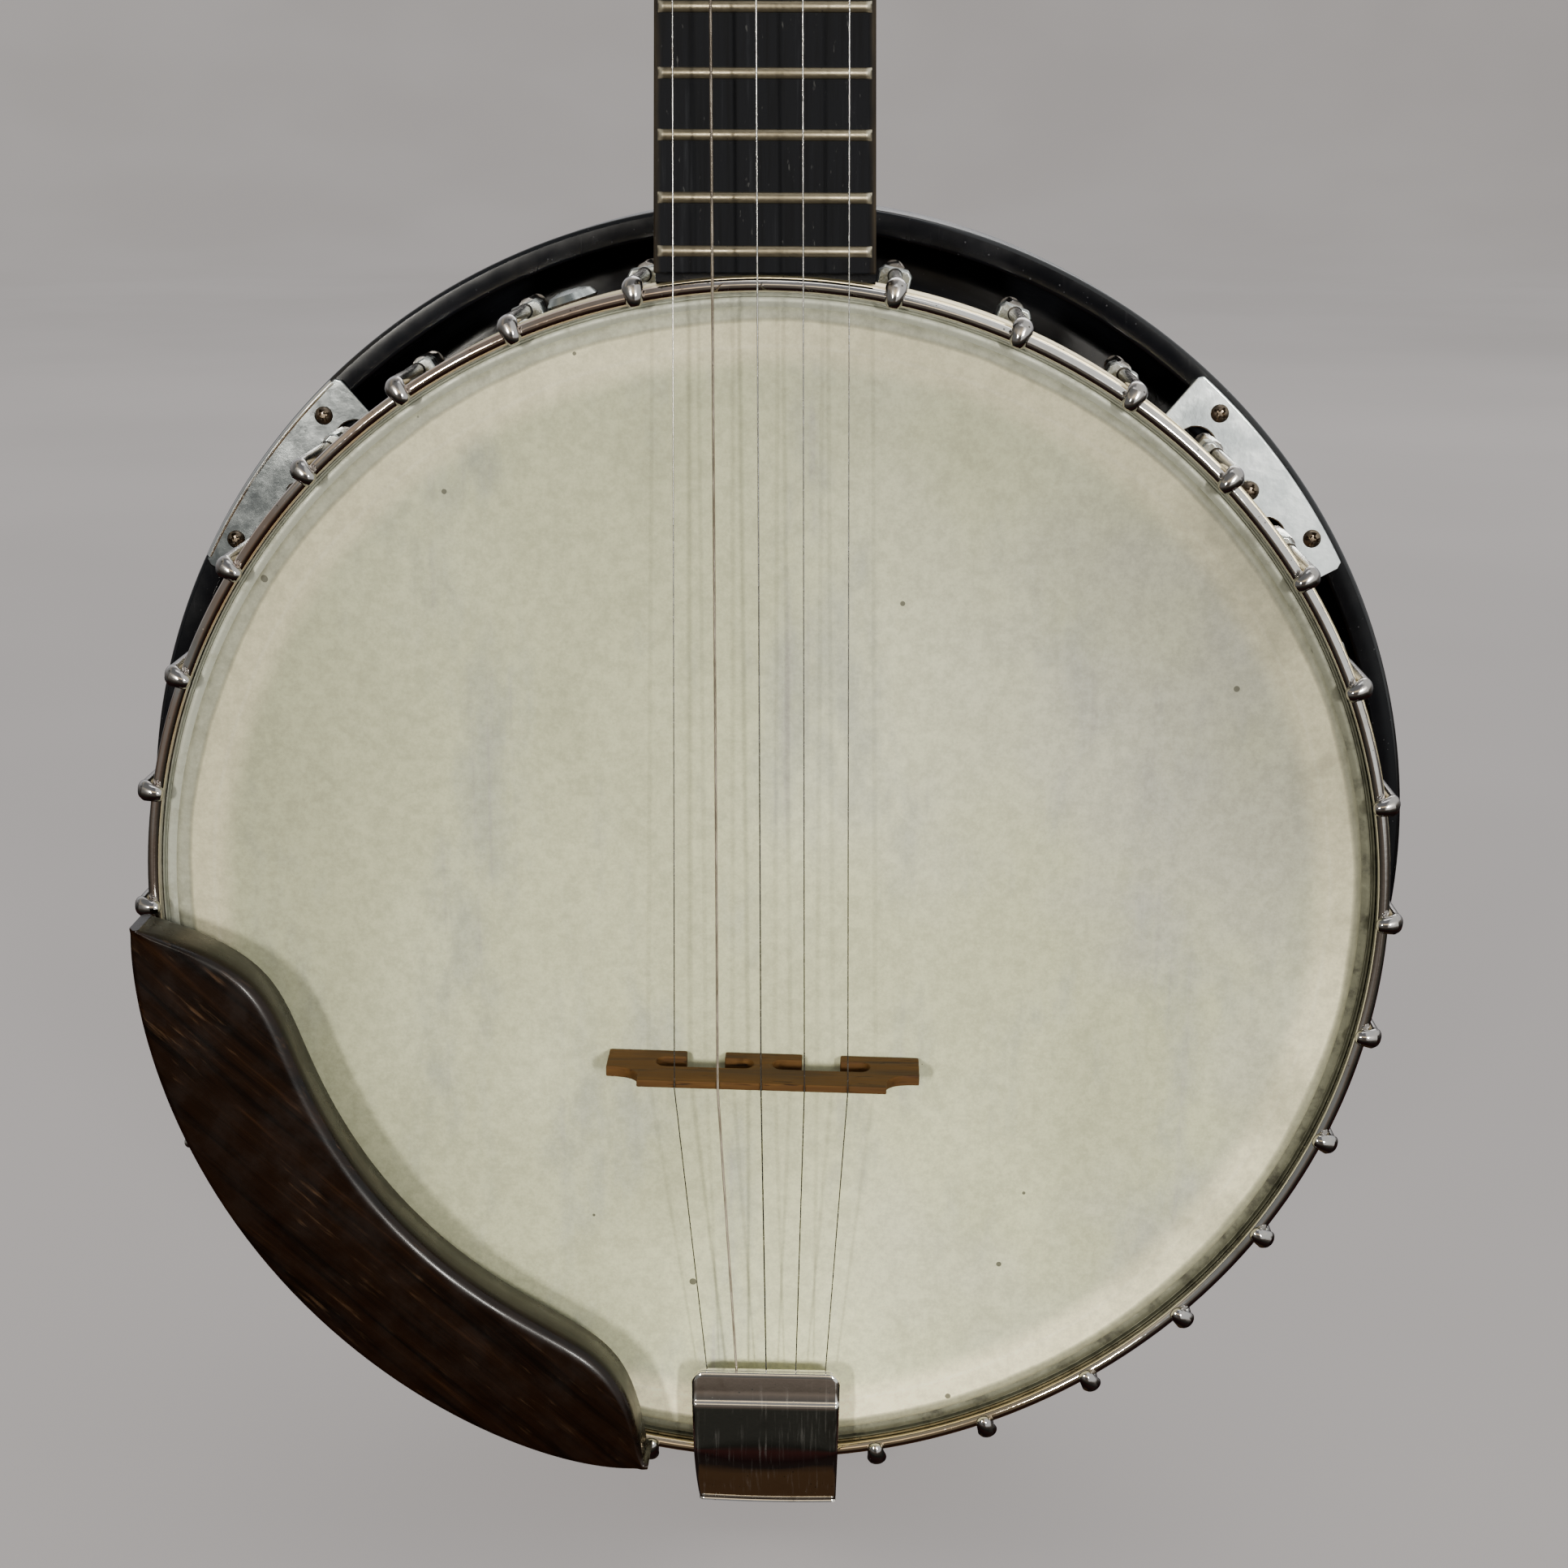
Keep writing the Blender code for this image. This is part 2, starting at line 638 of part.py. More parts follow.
def make_tailpiece_cover():
    outer = ((-117.0, -8.5), (-126.0, -9.8), (-140.0, -8.4), (-149.5, -5.4), (-157.0, -0.8), (-160.2, 4.4))
    inner = ((-159.1, 4.9), (-156.1, 0.2), (-149.1, -4.2), (-139.8, -7.2), (-126.0, -8.5), (-117.1, -7.2))
    left, right = TAIL_CENTRE_X - COVER_HALF, TAIL_CENTRE_X + COVER_HALF
    bm = bmesh.new()
    side_profile(bm, outer + inner, left, right)
    origin = at(TAIL_CENTRE_X, HINGE_DEPTH, HINGE_Z)
    cover = finish("tailpiece_cover", bm, "chrome", origin)
    cheek = ((-117.4, -8.2), (-126.0, -9.3), (-140.0, -7.9), (-149.3, -5.0), (-156.6, -0.4), (-159.6, 4.6))
    cheek += ((-156.0, 5.6), (-152.8, 4.4), (-148.5, -2.0), (-140.0, -5.2), (-117.4, -6.4))
    for name, low, high in (("left", left, left + 1.1), ("right", right - 1.1, right)):
        wall = bmesh.new()
        side_profile(wall, cheek, low, high)
        boolean(cover, helper(f"cover_cheek_{name}", wall), "UNION")


def make_armrest():
    """A slice of ring over the hoop, its inner side swept out to the hoop at both ends."""
    steps = 30
    inner = []
    for i in range(steps + 1):
        share = (1 - math.cos(math.pi * i / steps)) / 2
        degrees = ARM_START + (ARM_END - ARM_START) * share
        sweep_out = math.exp(-(ARM_START - degrees) / 3.8) + math.exp(-(degrees - ARM_END) / 3.8)
        inner.append((min(ARM_INNER + 31 * sweep_out, ARM_OUTER - 2.5), degrees))
    outer = [(ARM_OUTER, ARM_END + (ARM_START - ARM_END) * i / 16) for i in range(17)]
    bm = bmesh.new()
    prism(
        bm,
        [around(radius, ARM_FRONT, degrees) for radius, degrees in inner + outer],
        Vector((0, (ARM_BACK - ARM_FRONT) * MM, 0)),
    )
    armrest = finish("armrest", bm, "walnut")
    bevel(armrest, 1.6, 2)


clear_scene()
make_rim()
make_head()
make_tension_hoop()
make_hooks()
make_resonator()
make_flange_plates()
make_coordinator_rod()
make_neck()
make_fingerboard()
make_string_nut()
make_tuners()
make_fifth_peg()
make_strings()
make_bridge()
make_tailpiece_base()
make_tailpiece_cover()
make_armrest()
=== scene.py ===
"""The finished look of the five-string banjo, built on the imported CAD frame."""

import json
import math
import random

import bmesh
import bpy
from mathutils import Matrix, Vector


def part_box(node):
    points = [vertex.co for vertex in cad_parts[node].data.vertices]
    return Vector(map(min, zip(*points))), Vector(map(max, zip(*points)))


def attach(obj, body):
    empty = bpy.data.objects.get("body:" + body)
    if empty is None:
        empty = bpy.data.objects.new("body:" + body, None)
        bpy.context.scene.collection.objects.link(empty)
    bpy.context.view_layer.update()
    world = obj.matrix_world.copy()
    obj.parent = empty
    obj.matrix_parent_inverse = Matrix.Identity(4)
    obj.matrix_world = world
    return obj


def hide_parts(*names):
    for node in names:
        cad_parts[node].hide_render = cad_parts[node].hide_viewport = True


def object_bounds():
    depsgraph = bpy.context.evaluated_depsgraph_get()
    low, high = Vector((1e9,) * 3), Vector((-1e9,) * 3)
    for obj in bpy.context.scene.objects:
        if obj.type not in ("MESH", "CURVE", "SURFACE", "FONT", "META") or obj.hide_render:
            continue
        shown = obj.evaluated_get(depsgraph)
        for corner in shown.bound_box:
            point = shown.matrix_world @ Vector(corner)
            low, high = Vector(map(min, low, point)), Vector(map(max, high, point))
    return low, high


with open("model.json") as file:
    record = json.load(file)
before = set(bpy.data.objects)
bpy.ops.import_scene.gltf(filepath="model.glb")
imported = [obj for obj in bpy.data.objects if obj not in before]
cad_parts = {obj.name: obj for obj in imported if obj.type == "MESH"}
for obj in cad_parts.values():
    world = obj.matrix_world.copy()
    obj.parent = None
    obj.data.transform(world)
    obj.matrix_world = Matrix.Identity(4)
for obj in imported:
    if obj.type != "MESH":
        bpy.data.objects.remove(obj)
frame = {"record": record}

MM = 0.001
CAD_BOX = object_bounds()
RNG = random.Random(7)


# Sizes, in millimetres, read from the frame. Depth runs back from the middle of the hoop's bead.


def box_mm(node):
    low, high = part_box(node)
    return [value / MM for value in low], [value / MM for value in high]


BEAD_HALF = 1.7
HOOP_LOW, HOOP_HIGH = box_mm("tension_hoop")
BEAD_R = (HOOP_HIGH[0] - HOOP_LOW[0]) / 2 - BEAD_HALF
BEAD_Y = HOOP_LOW[1] + BEAD_HALF
HOOP_BACK = HOOP_HIGH[1] - BEAD_Y
HEAD_LOW, HEAD_HIGH = box_mm("head")
HEAD_TOP = HEAD_LOW[1] - BEAD_Y
FLESH_R = (HEAD_HIGH[0] - HEAD_LOW[0]) / 2
HEAD_R = FLESH_R - 2.1
RES_LOW, RES_HIGH = box_mm("resonator")
RES_R = (RES_HIGH[0] - RES_LOW[0]) / 2
RES_FRONT = RES_LOW[1] - BEAD_Y
BODY_DEPTH = RES_HIGH[1] - BEAD_Y
RIM_BACK = box_mm("rim")[1][1] - BEAD_Y
RIM_R, RIM_IN = HEAD_R - 1.0, HEAD_R - 17.0
BOARD_LOW, BOARD_HIGH = box_mm("fingerboard")
BOARD_END_Z = BOARD_LOW[2]
BOARD_BACK = BOARD_HIGH[1] - BEAD_Y
BOARD_TOP = BOARD_BACK - 5.0
NUT_Z = box_mm("string_nut")[0][2]
BRIDGE_LOW, BRIDGE_HIGH = box_mm("bridge")
BRIDGE_Z = (BRIDGE_LOW[2] + BRIDGE_HIGH[2]) / 2
BRIDGE_TOP = BRIDGE_LOW[1] - BEAD_Y
PLATE_FRONT = box_mm("flange_plate_1")[0][1] - BEAD_Y
ARM_LOW, ARM_HIGH = box_mm("armrest")
ARM_FRONT, ARM_BACK = ARM_LOW[1] - BEAD_Y, ARM_HIGH[1] - BEAD_Y
COVER_LOW, COVER_HIGH = box_mm("tailpiece_cover")
TAIL_X = (COVER_LOW[0] + COVER_HIGH[0]) / 2
COVER_HALF = (COVER_HIGH[0] - COVER_LOW[0]) / 2
JOINTS = {joint["name"]: joint for joint in frame["record"]["behaviour"]["joints"]}
HINGE, PEG = (
    [value / MM for value in JOINTS[name]["pos_m"]] for name in ("cover_hinge", "fifth_peg_turn")
)
HOOK_PLACES = 32
HOOK_R = BEAD_R + 3.2
SHOE_FRONT, SHOE_BACK = 28.0, 38.0
# Each flange plate's centre, half width and screw offset, in degrees
PLATES = ((51.5, 10.9, 7.2), (128.1, 11.3, 7.4), (231.9, 11.3, 7.4), (307.4, 10.6, 7.2))
BOARD_HALF, BOARD_TAPER = 24.2, 0.0142
GAP = 0.35  # the gap the CAD leaves between neighbouring solids
FRET_COUNT, FIRST_LOW_FRET = 22, 21
FRET_SHIFT, LOW_FRET_SHIFT = 1.4, 0.3  # towards the nut
BRIDGE_TURN = math.radians(-0.9)
SCALE = NUT_Z - BRIDGE_Z
FIFTH_STEP_Z = 478.0
HEAD_TILT = math.radians(12)
HEAD_THICK = 15.0
ROD_DEPTH = 42.0
STRING_R = (0.14, 0.15, 0.18, 0.3, 0.14)
BRIDGE_X = (20.2, 10.1, 0.0, -10.1, -20.2)
NUT_X = (13.6, 4.9, -3.8, -11.9, -17.0)
TAIL_STRING_X = (15.5, 8.2, 0.9, -6.4, -13.7)
TUNERS = ((20.5, 44.0), (20.5, 98.0), (-20.5, 98.0), (-20.5, 44.0))
STRING_ON_POST = 6.0


def at(across, depth, up):
    return Vector((across * MM, (BEAD_Y + depth) * MM, up * MM))


def around(radius, depth, degrees):
    turn = math.radians(degrees)
    return at(radius * math.sin(turn), depth, radius * math.cos(turn))


def on_headstock(across, up, out):
    """A point of the tilted headstock: out is measured forward from its face."""
    slope, rise = math.sin(HEAD_TILT), math.cos(HEAD_TILT)
    top = BOARD_BACK + GAP
    return at(across, top + up * slope - out * rise, NUT_Z + 5 + up * rise + out * slope)


def board_edges(z):
    right = BOARD_HALF - BOARD_TAPER * (z - BOARD_END_Z)
    left = -right if z < FIFTH_STEP_Z else -15.4 + 0.004 * (z - FIFTH_STEP_Z)
    return left, right


def fret_z(number):
    return BRIDGE_Z + SCALE * 2 ** (-number / 12)


def hook_degrees():
    """Every hook place but the neck's and the tailpiece's."""
    return [i * 360 / HOOK_PLACES for i in range(HOOK_PLACES) if i % (HOOK_PLACES // 2)]


# Mesh helpers


def smooth_mesh(name, bm, material, sharp=35):
    bmesh.ops.recalc_face_normals(bm, faces=bm.faces)
    mesh = bpy.data.meshes.new(name)
    bm.to_mesh(mesh)
    bm.free()
    mesh.polygons.foreach_set("use_smooth", [True] * len(mesh.polygons))
    mesh.set_sharp_from_angle(angle=math.radians(sharp))
    mesh.materials.append(material)
    return mesh


def place(name, mesh, body="instrument", slot=None, replaces=(), matrix=None):
    obj = bpy.data.objects.new(name, mesh)
    bpy.context.scene.collection.objects.link(obj)
    if matrix is not None:
        obj.matrix_world = matrix
    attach(obj, body)
    if replaces:
        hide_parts(*replaces)
    return obj


def piece(name, bm, material, sharp=35, **looks):
    return place(name, smooth_mesh(name, bm, material, sharp), **looks)


def bevel(obj, width, segments=3, angle=40):
    modifier = obj.modifiers.new("bevel", "BEVEL")
    modifier.width = width * MM
    modifier.segments = segments
    modifier.limit_method = "ANGLE"
    modifier.angle_limit = math.radians(angle)
    modifier.harden_normals = True
    return obj


def arc(centre, radius, start, end, steps):
    """Points round a centre, in degrees from the first axis towards the second."""
    turns = [math.radians(start + (end - start) * i / steps) for i in range(steps + 1)]
    return [(centre[0] + radius * math.cos(t), centre[1] + radius * math.sin(t)) for t in turns]


def steps_between(start, end, count):
    return [start + (end - start) * i / count for i in range(count + 1)]


def circle(sides):
    return [2 * math.pi * k / sides for k in range(sides)]


def lathe(bm, profile, steps):
    rows = []
    for i in range(steps):
        degrees = 360 * i / steps
        rows.append([None if r < 1e-6 else bm.verts.new(around(r, d, degrees)) for r, d in profile])
    hubs = {j: bm.verts.new(at(0, d, 0)) for j, (r, d) in enumerate(profile) if r < 1e-6}
    count = len(profile)
    for i in range(steps):
        low, high = rows[i - 1], rows[i]
        for j in range(count):
            k = (j + 1) % count
            ends = [low[j] or hubs[j], low[k] or hubs[k], high[k] or hubs[k], high[j] or hubs[j]]
            ends = list(dict.fromkeys(ends))
            if len(ends) > 2:
                bm.faces.new(ends)


def loft(bm, rings, caps=True):
    rows = [[bm.verts.new(point) for point in ring] for ring in rings]
    count = len(rows[0])
    for low, high in zip(rows, rows[1:]):
        for i in range(count):
            bm.faces.new((low[i - 1], low[i], high[i], high[i - 1]))
    if caps:
        bm.faces.new(rows[0])
        bm.faces.new(reversed(rows[-1]))


def prism(bm, outline, shift):
    loft(bm, [outline, [point + shift for point in outline]])


def sweep(bm, path, sides):
    """A rod along (point, radius) pairs."""
    points = [point for point, _ in path]
    rings, side = [], None
    for i, (point, radius) in enumerate(path):
        before = next((p for p in reversed(points[:i]) if (point - p).length > 1e-7), point)
        after = next((p for p in points[i + 1 :] if (point - p).length > 1e-7), point)
        along = ((point - before).normalized() + (after - point).normalized()).normalized()
        if side is None:
            side = Vector((1, 0, 0)) if abs(along.x) < 0.9 else Vector((0, 0, 1))
        side = (side - along * side.dot(along)).normalized()
        other = along.cross(side)
        rings.append(
            [point + (side * math.cos(t) + other * math.sin(t)) * radius * MM for t in circle(sides)]
        )
    loft(bm, rings)


def lathed(name, profile, steps, material, **looks):
    bm = bmesh.new()
    lathe(bm, profile, steps)
    return piece(name, bm, material, **looks)


def swept(name, path, sides, material, **looks):
    bm = bmesh.new()
    sweep(bm, path, sides)
    return piece(name, bm, material, **looks)


def lofted(name, rings, material, **looks):
    bm = bmesh.new()
    loft(bm, rings)
    return piece(name, bm, material, **looks)


def extruded(name, outline, shift, material, **looks):
    return lofted(name, [outline, [point + shift for point in outline]], material, **looks)


def profiled(name, points, left, right, material, **looks):
    """A shape drawn from the side, as (up, depth), and drawn out from left to right."""
    outline = [at(left, depth, up) for up, depth in points]
    return extruded(name, outline, Vector(((right - left) * MM, 0, 0)), material, **looks)


def smooth_path(points, steps):
    """Catmull-Rom points through the given ones."""
    out = []
    for i in range(len(points) - 1):
        p0, p1 = points[max(i - 1, 0)], points[i]
        p2, p3 = points[i + 1], points[min(i + 2, len(points) - 1)]
        for k in range(steps):
            t = k / steps
            out.append(
                0.5
                * (
                    2 * p1
                    + (p2 - p0) * t
                    + (2 * p0 - 5 * p1 + 4 * p2 - p3) * t * t
                    + (3 * p1 - p0 - 3 * p2 + p3) * t**3
                )
            )
    out.append(points[-1].copy())
    return out


# Material helpers


class Nodes:
    """The few texture and arithmetic nodes that the surfaces and the room light are mixed from."""

    def __init__(self, tree, output):
        self.tree = tree
        self.coords = tree.nodes.new("ShaderNodeTexCoord").outputs[output]

    def wire(self, node, socket, value):
        if hasattr(value, "is_output"):
            self.tree.links.new(value, node.inputs[socket])
        else:
            node.inputs[socket].default_value = value

    def add(self, kind, inputs, **settings):
        node = self.tree.nodes.new(kind)
        for key, value in settings.items():
            setattr(node, key, value)
        for socket, value in inputs.items():
            self.wire(node, socket, value)
        return node

    def mapped(self, scale=(1, 1, 1), rotation=(0, 0, 0), source=None):
        inputs = {"Vector": source or self.coords, "Scale": scale, "Rotation": rotation}
        return self.add("ShaderNodeMapping", inputs).outputs["Vector"]

    def noise(self, scale, detail=4.0, roughness=0.55, vector=None, distortion=0.0):
        inputs = {"Vector": vector or self.coords, "Scale": scale, "Detail": detail}
        inputs |= {"Roughness": roughness, "Distortion": distortion}
        return self.add("ShaderNodeTexNoise", inputs).outputs["Fac"]

    def cells(self, scale, output="Distance"):
        inputs = {"Vector": self.coords, "Scale": scale}
        return self.add("ShaderNodeTexVoronoi", inputs).outputs[output]

    def specks(self, scale, size, floor):
        """Specks of uneven size, in the cells whose second random number is over the floor."""
        chance = self.split(self.cells(scale, "Color"))
        dots = self.math("LESS_THAN", self.cells(scale), self.times(chance[0], size))
        return self.times(dots, self.math("GREATER_THAN", chance[1], floor))

    def ramp(self, fac, *stops, smooth=True):
        node = self.add("ShaderNodeValToRGB", {"Fac": fac})
        node.color_ramp.interpolation = "EASE" if smooth else "LINEAR"
        elements = node.color_ramp.elements
        while len(elements) < len(stops):
            elements.new(0.5)
        for element, (position, colour) in zip(elements, stops):
            element.position = position
            element.color = (*colour, 1.0)
        return node.outputs["Color"]

    def mix(self, fac, first, second, mode="MIX"):
        first, second = ((*v, 1.0) if isinstance(v, tuple) else v for v in (first, second))
        inputs = {0: fac, 6: first, 7: second}
        return self.add("ShaderNodeMix", inputs, data_type="RGBA", blend_type=mode).outputs[2]

    def math(self, operation, *values):
        return self.add("ShaderNodeMath", dict(enumerate(values)), operation=operation).outputs[0]

    def times(self, first, *others):
        for other in others:
            first = self.math("MULTIPLY", first, other)
        return first

    def plus(self, first, second):
        return self.math("ADD", first, second)

    def minus(self, first, second):
        return self.math("SUBTRACT", first, second)

    def span(self, *limits):
        """A smooth step of a value from low to high, which gives 0 to 1 or the last two numbers."""
        inputs = dict(enumerate(limits))
        return self.add("ShaderNodeMapRange", inputs, interpolation_type="SMOOTHSTEP").outputs[0]

    def joined(self, value):
        return self.add("ShaderNodeCombineXYZ", dict.fromkeys(range(3), value)).outputs[0]

    def split(self, vector=None):
        return self.add("ShaderNodeSeparateXYZ", {0: vector or self.coords}).outputs

    def radius(self):
        """Distance from the pot's axis, in metres."""
        x, _, z = self.split()
        squares = self.plus(self.times(x, x), self.times(z, z))
        return self.math("SQRT", squares)


class Paint(Nodes):
    """A Principled material."""

    def __init__(self, name, **sockets):
        self.material = bpy.data.materials.new(name)
        self.material.use_nodes = True
        super().__init__(self.material.node_tree, "Object")
        self.shader = self.tree.nodes["Principled BSDF"]
        for key, value in sockets.items():
            self.set(key.replace("_", " "), value)

    def set(self, socket, value):
        slot = self.shader.inputs[socket]
        if isinstance(value, (int, float)):
            slot.default_value = value
        elif isinstance(value, tuple):
            slot.default_value = (*value, 1.0)
        else:
            self.tree.links.new(value, slot)

    def bump(self, height, strength=0.3, distance=0.0005):
        inputs = {"Strength": strength, "Distance": distance, "Height": height}
        node = self.add("ShaderNodeBump", inputs)
        self.tree.links.new(node.outputs["Normal"], self.shader.inputs["Normal"])


def inside_board(p):
    """How far in from the edge of the fingerboard, in metres."""
    x, _, z = p.split()
    taper = p.times(z, BOARD_TAPER)
    half = p.minus((BOARD_HALF + BOARD_TAPER * BOARD_END_Z) * MM, taper)
    return p.minus(half, p.math("ABSOLUTE", x))


def skin_material():
    """Frosted film: greyer in the middle, creamy by its edge, with specks, smudges and faint streaks, a
    painted shadow round its rim and painted light and shade across it.
    """
    p = Paint("frosted_head", Specular_IOR_Level=0.35)
    radius = p.radius()
    x = p.split()[0]
    cloud = p.noise(8, 4, 0.55, p.mapped(scale=(1, 1, 0.6)))
    middle = p.ramp(
        cloud, (0.33, (0.375, 0.38, 0.24)), (0.5, (0.485, 0.49, 0.31)), (0.68, (0.6, 0.606, 0.4))
    )
    blotch = p.span(p.noise(30, 5, 0.62, p.mapped(scale=(1.2, 1, 0.45))), 0.5, 0.7)
    middle = p.mix(p.times(blotch, 0.7), middle, (0.335, 0.35, 0.285))
    lilac = p.times(p.span(x, -0.02, 0.1), p.span(p.noise(14, 3, 0.5), 0.42, 0.62))
    middle = p.mix(p.times(lilac, 0.45), middle, (0.47, 0.45, 0.42))
    streaks = p.span(p.noise(1, 3, 0.6, p.mapped(scale=(300, 1, 4.5))), 0.52, 0.7)
    middle = p.mix(p.times(streaks, blotch, 0.7), middle, (0.33, 0.315, 0.275))
    wobble = p.times(p.minus(p.noise(30, 3, 0.6), 0.5), 0.0016)
    ringed = p.plus(p.minus(radius, p.times(x, 0.0065)), wobble)
    cream = p.span(ringed, 0.1245, 0.131)
    colour = p.mix(p.times(cream, 0.9), middle, (0.69, 0.64, 0.42))
    # Painted shadow round the rim of the film, where it turns down to the hoop: darkest towards the
    # tailpiece and the right, paler towards the neck and the left, with grime mixed in.
    lean = p.minus(p.split()[2], p.times(x, 0.7))
    rim_shade_and_grime = p.mix(p.span(lean, -0.12, 0.08), (0.15, 0.15, 0.098), (0.375, 0.385, 0.29))
    grime = p.span(p.noise(260, 4, 0.6), 0.42, 0.72)
    rim_shade_and_grime = p.mix(p.times(grime, 0.35), rim_shade_and_grime, (0.1, 0.1, 0.065))
    colour = p.mix(p.times(p.span(ringed, 0.1362, 0.1372), 0.88), colour, rim_shade_and_grime)
    for at_r, tone, share in ((0.1309, (0.72, 0.68, 0.48), 0.5), (0.1366, (0.14, 0.14, 0.09), 0.45)):
        line = p.span(p.math("ABSOLUTE", p.minus(ringed, at_r)), 0.0001, 0.0007, share, 0.0)
        colour = p.mix(line, colour, tone)
    stain = p.times(p.span(p.noise(16, 5, 0.65), 0.47, 0.66), p.span(radius, 0.108, 0.136))
    stain = p.times(stain, p.span(x, -0.03, 0.06))
    colour = p.mix(p.times(stain, 0.6), colour, (0.25, 0.245, 0.165))
    z = p.split()[2]
    # Painted light and shade: the film is coloured brighter towards the lower right and darker towards
    # the top, the upper-right corner and both sides; speckle is a fine random mottle.
    low = p.span(p.minus(p.times(x, 0.5), z), 0.03, 0.14, 1.08, 1.55)
    corner = p.span(p.plus(x, z), 0.09, 0.17, 1.0, 0.76)
    left, right = p.span(x, -0.14, -0.02, 0.66, 1.0), p.span(x, 0.03, 0.12, 1.0, 0.8)
    speckle = p.span(p.noise(380, 6, 0.8), 0.32, 0.68, 0.84, 1.13)
    shade = p.times(low, p.span(z, 0.0, 0.12, 1.0, 0.8), corner, left, right, speckle)
    colour = p.mix(1.0, colour, p.joined(shade), "MULTIPLY")
    spots = p.specks(62, 0.07, 0.55)
    dust = p.specks(260, 0.11, p.span(ringed, 0.12, 0.138, 0.8, 0.35))
    marks = p.math("MAXIMUM", p.times(spots, 0.85), p.times(dust, 0.6))
    colour = p.mix(marks, colour, (0.05, 0.048, 0.032))
    p.set("Base Color", colour)
    p.set("Roughness", p.span(p.noise(60, 4, 0.6), 0.3, 0.75, 0.5, 0.68))
    p.bump(p.noise(2600, 2, 0.6), 0.12, 0.0002)
    return p.material


def plated(
    name, colour, rough=0.12, smear=0.1, spots=0.35, tint=(0.3, 0.24, 0.17), scale=90, metallic=1.0
):
    """Plated metal: smeared gloss, tarnish in patches and tiny dark pits."""
    p = Paint(name, Metallic=metallic)
    if name == "hoop_chrome":
        x, _, z = p.split()
        corner = p.span(p.minus(z, x), 0.12, 0.2)
        patch = p.span(p.noise(35, 3, 0.6), 0.35, 0.6)
        colour = p.mix(p.times(corner, patch, 0.7), colour, (0.62, 0.4, 0.27))
        foot = p.span(p.times(z, -1), 0.1, 0.135, 0, 0.7)
        colour = p.mix(foot, colour, (0.8, 0.6, 0.34))
    if name == "fret_metal":
        colour = p.mix(p.span(inside_board(p), 0.0014, 0.0024, 0.8, 0), colour, (0.6, 0.55, 0.42))
    cloud = p.noise(scale, 4, 0.6)
    colour = p.mix(p.span(cloud, 0.5, 0.85, 0, 0.55), colour, tint)
    dots = p.specks(900, 0.24, 1 - spots * 0.5)
    p.set("Base Color", p.mix(p.times(dots, 0.8), colour, (0.06, 0.055, 0.045)))
    wear = p.span(p.noise(scale * 5, 5, 0.65), 0.3, 0.8, rough, rough + smear)
    if name == "tailpiece_chrome":
        streaks = p.span(p.noise(1, 4, 0.65, p.mapped(scale=(1300, 1, 70))), 0.52, 0.74)
        patch = p.span(p.noise(70, 3, 0.6), 0.4, 0.62)
        dust = p.times(streaks, patch)
        p.set("Metallic", p.minus(1.0, p.times(dust, 0.07)))
        wear = p.plus(wear, p.times(dust, 0.1))
    if name == "hook_chrome":
        rubbed = p.span(p.split()[2], (HOOK_R - 2.9) * MM, (HOOK_R - 1.5) * MM)
        wear = p.plus(wear, p.times(rubbed, 0.1))
    p.set("Roughness", p.plus(wear, p.times(dots, 0.25)))
    p.bump(p.noise(scale * 9, 3, 0.6), 0.05, 0.0002)
    return p.material


def ledge_material():
    """The hoop's inner ledge: dull plating under a dirty olive film, paler towards the neck."""
    p = Paint("tarnished_ledge", Metallic=0.35, Specular_IOR_Level=0.4)
    grime = p.noise(170, 6, 0.7)
    dark = p.ramp(
        grime, (0.3, (0.035, 0.033, 0.02)), (0.52, (0.105, 0.105, 0.068)), (0.8, (0.21, 0.21, 0.145))
    )
    pale = p.ramp(grime, (0.3, (0.27, 0.275, 0.21)), (0.55, (0.36, 0.37, 0.3)), (0.8, (0.45, 0.46, 0.38)))
    x, _, z = p.split()
    lean = p.minus(z, p.times(x, 0.7))
    p.set("Base Color", p.mix(p.span(lean, -0.1, 0.1), dark, pale))
    p.set("Roughness", p.span(grime, 0.3, 0.7, 0.6, 0.38))
    p.bump(p.noise(700, 4, 0.7), 0.3, 0.0002)
    return p.material


def plate_material():
    """Nickel plate, bright, with painted shade that makes the plates on the left side much darker, and
    scattered dark specks.
    """
    p = Paint("flange_nickel", Metallic=1.0)
    cloud = p.noise(45, 5, 0.6, distortion=0.4)
    colour = p.ramp(cloud, (0.3, (0.74, 0.79, 0.78)), (0.75, (0.92, 0.95, 0.93)))
    # Painted shade: plates on the left side are coloured much darker, for the darker reflection they show
    # there.
    dull = p.times(p.span(p.times(p.split()[0], -1), 0.03, 0.08), 0.86)
    colour = p.mix(dull, colour, p.ramp(cloud, (0.3, (0.17, 0.185, 0.185)), (0.75, (0.29, 0.31, 0.31))))
    spots = p.times(p.specks(520, 0.26, 0.45), p.span(p.noise(48, 3, 0.6), 0.52, 0.66))
    p.set("Base Color", p.mix(p.times(spots, 0.75), colour, (0.12, 0.12, 0.11)))
    p.set("Roughness", p.span(p.noise(110, 5, 0.65), 0.3, 0.7, 0.11, 0.19))
    p.bump(p.noise(500, 4, 0.6), 0.08, 0.0003)
    return p.material


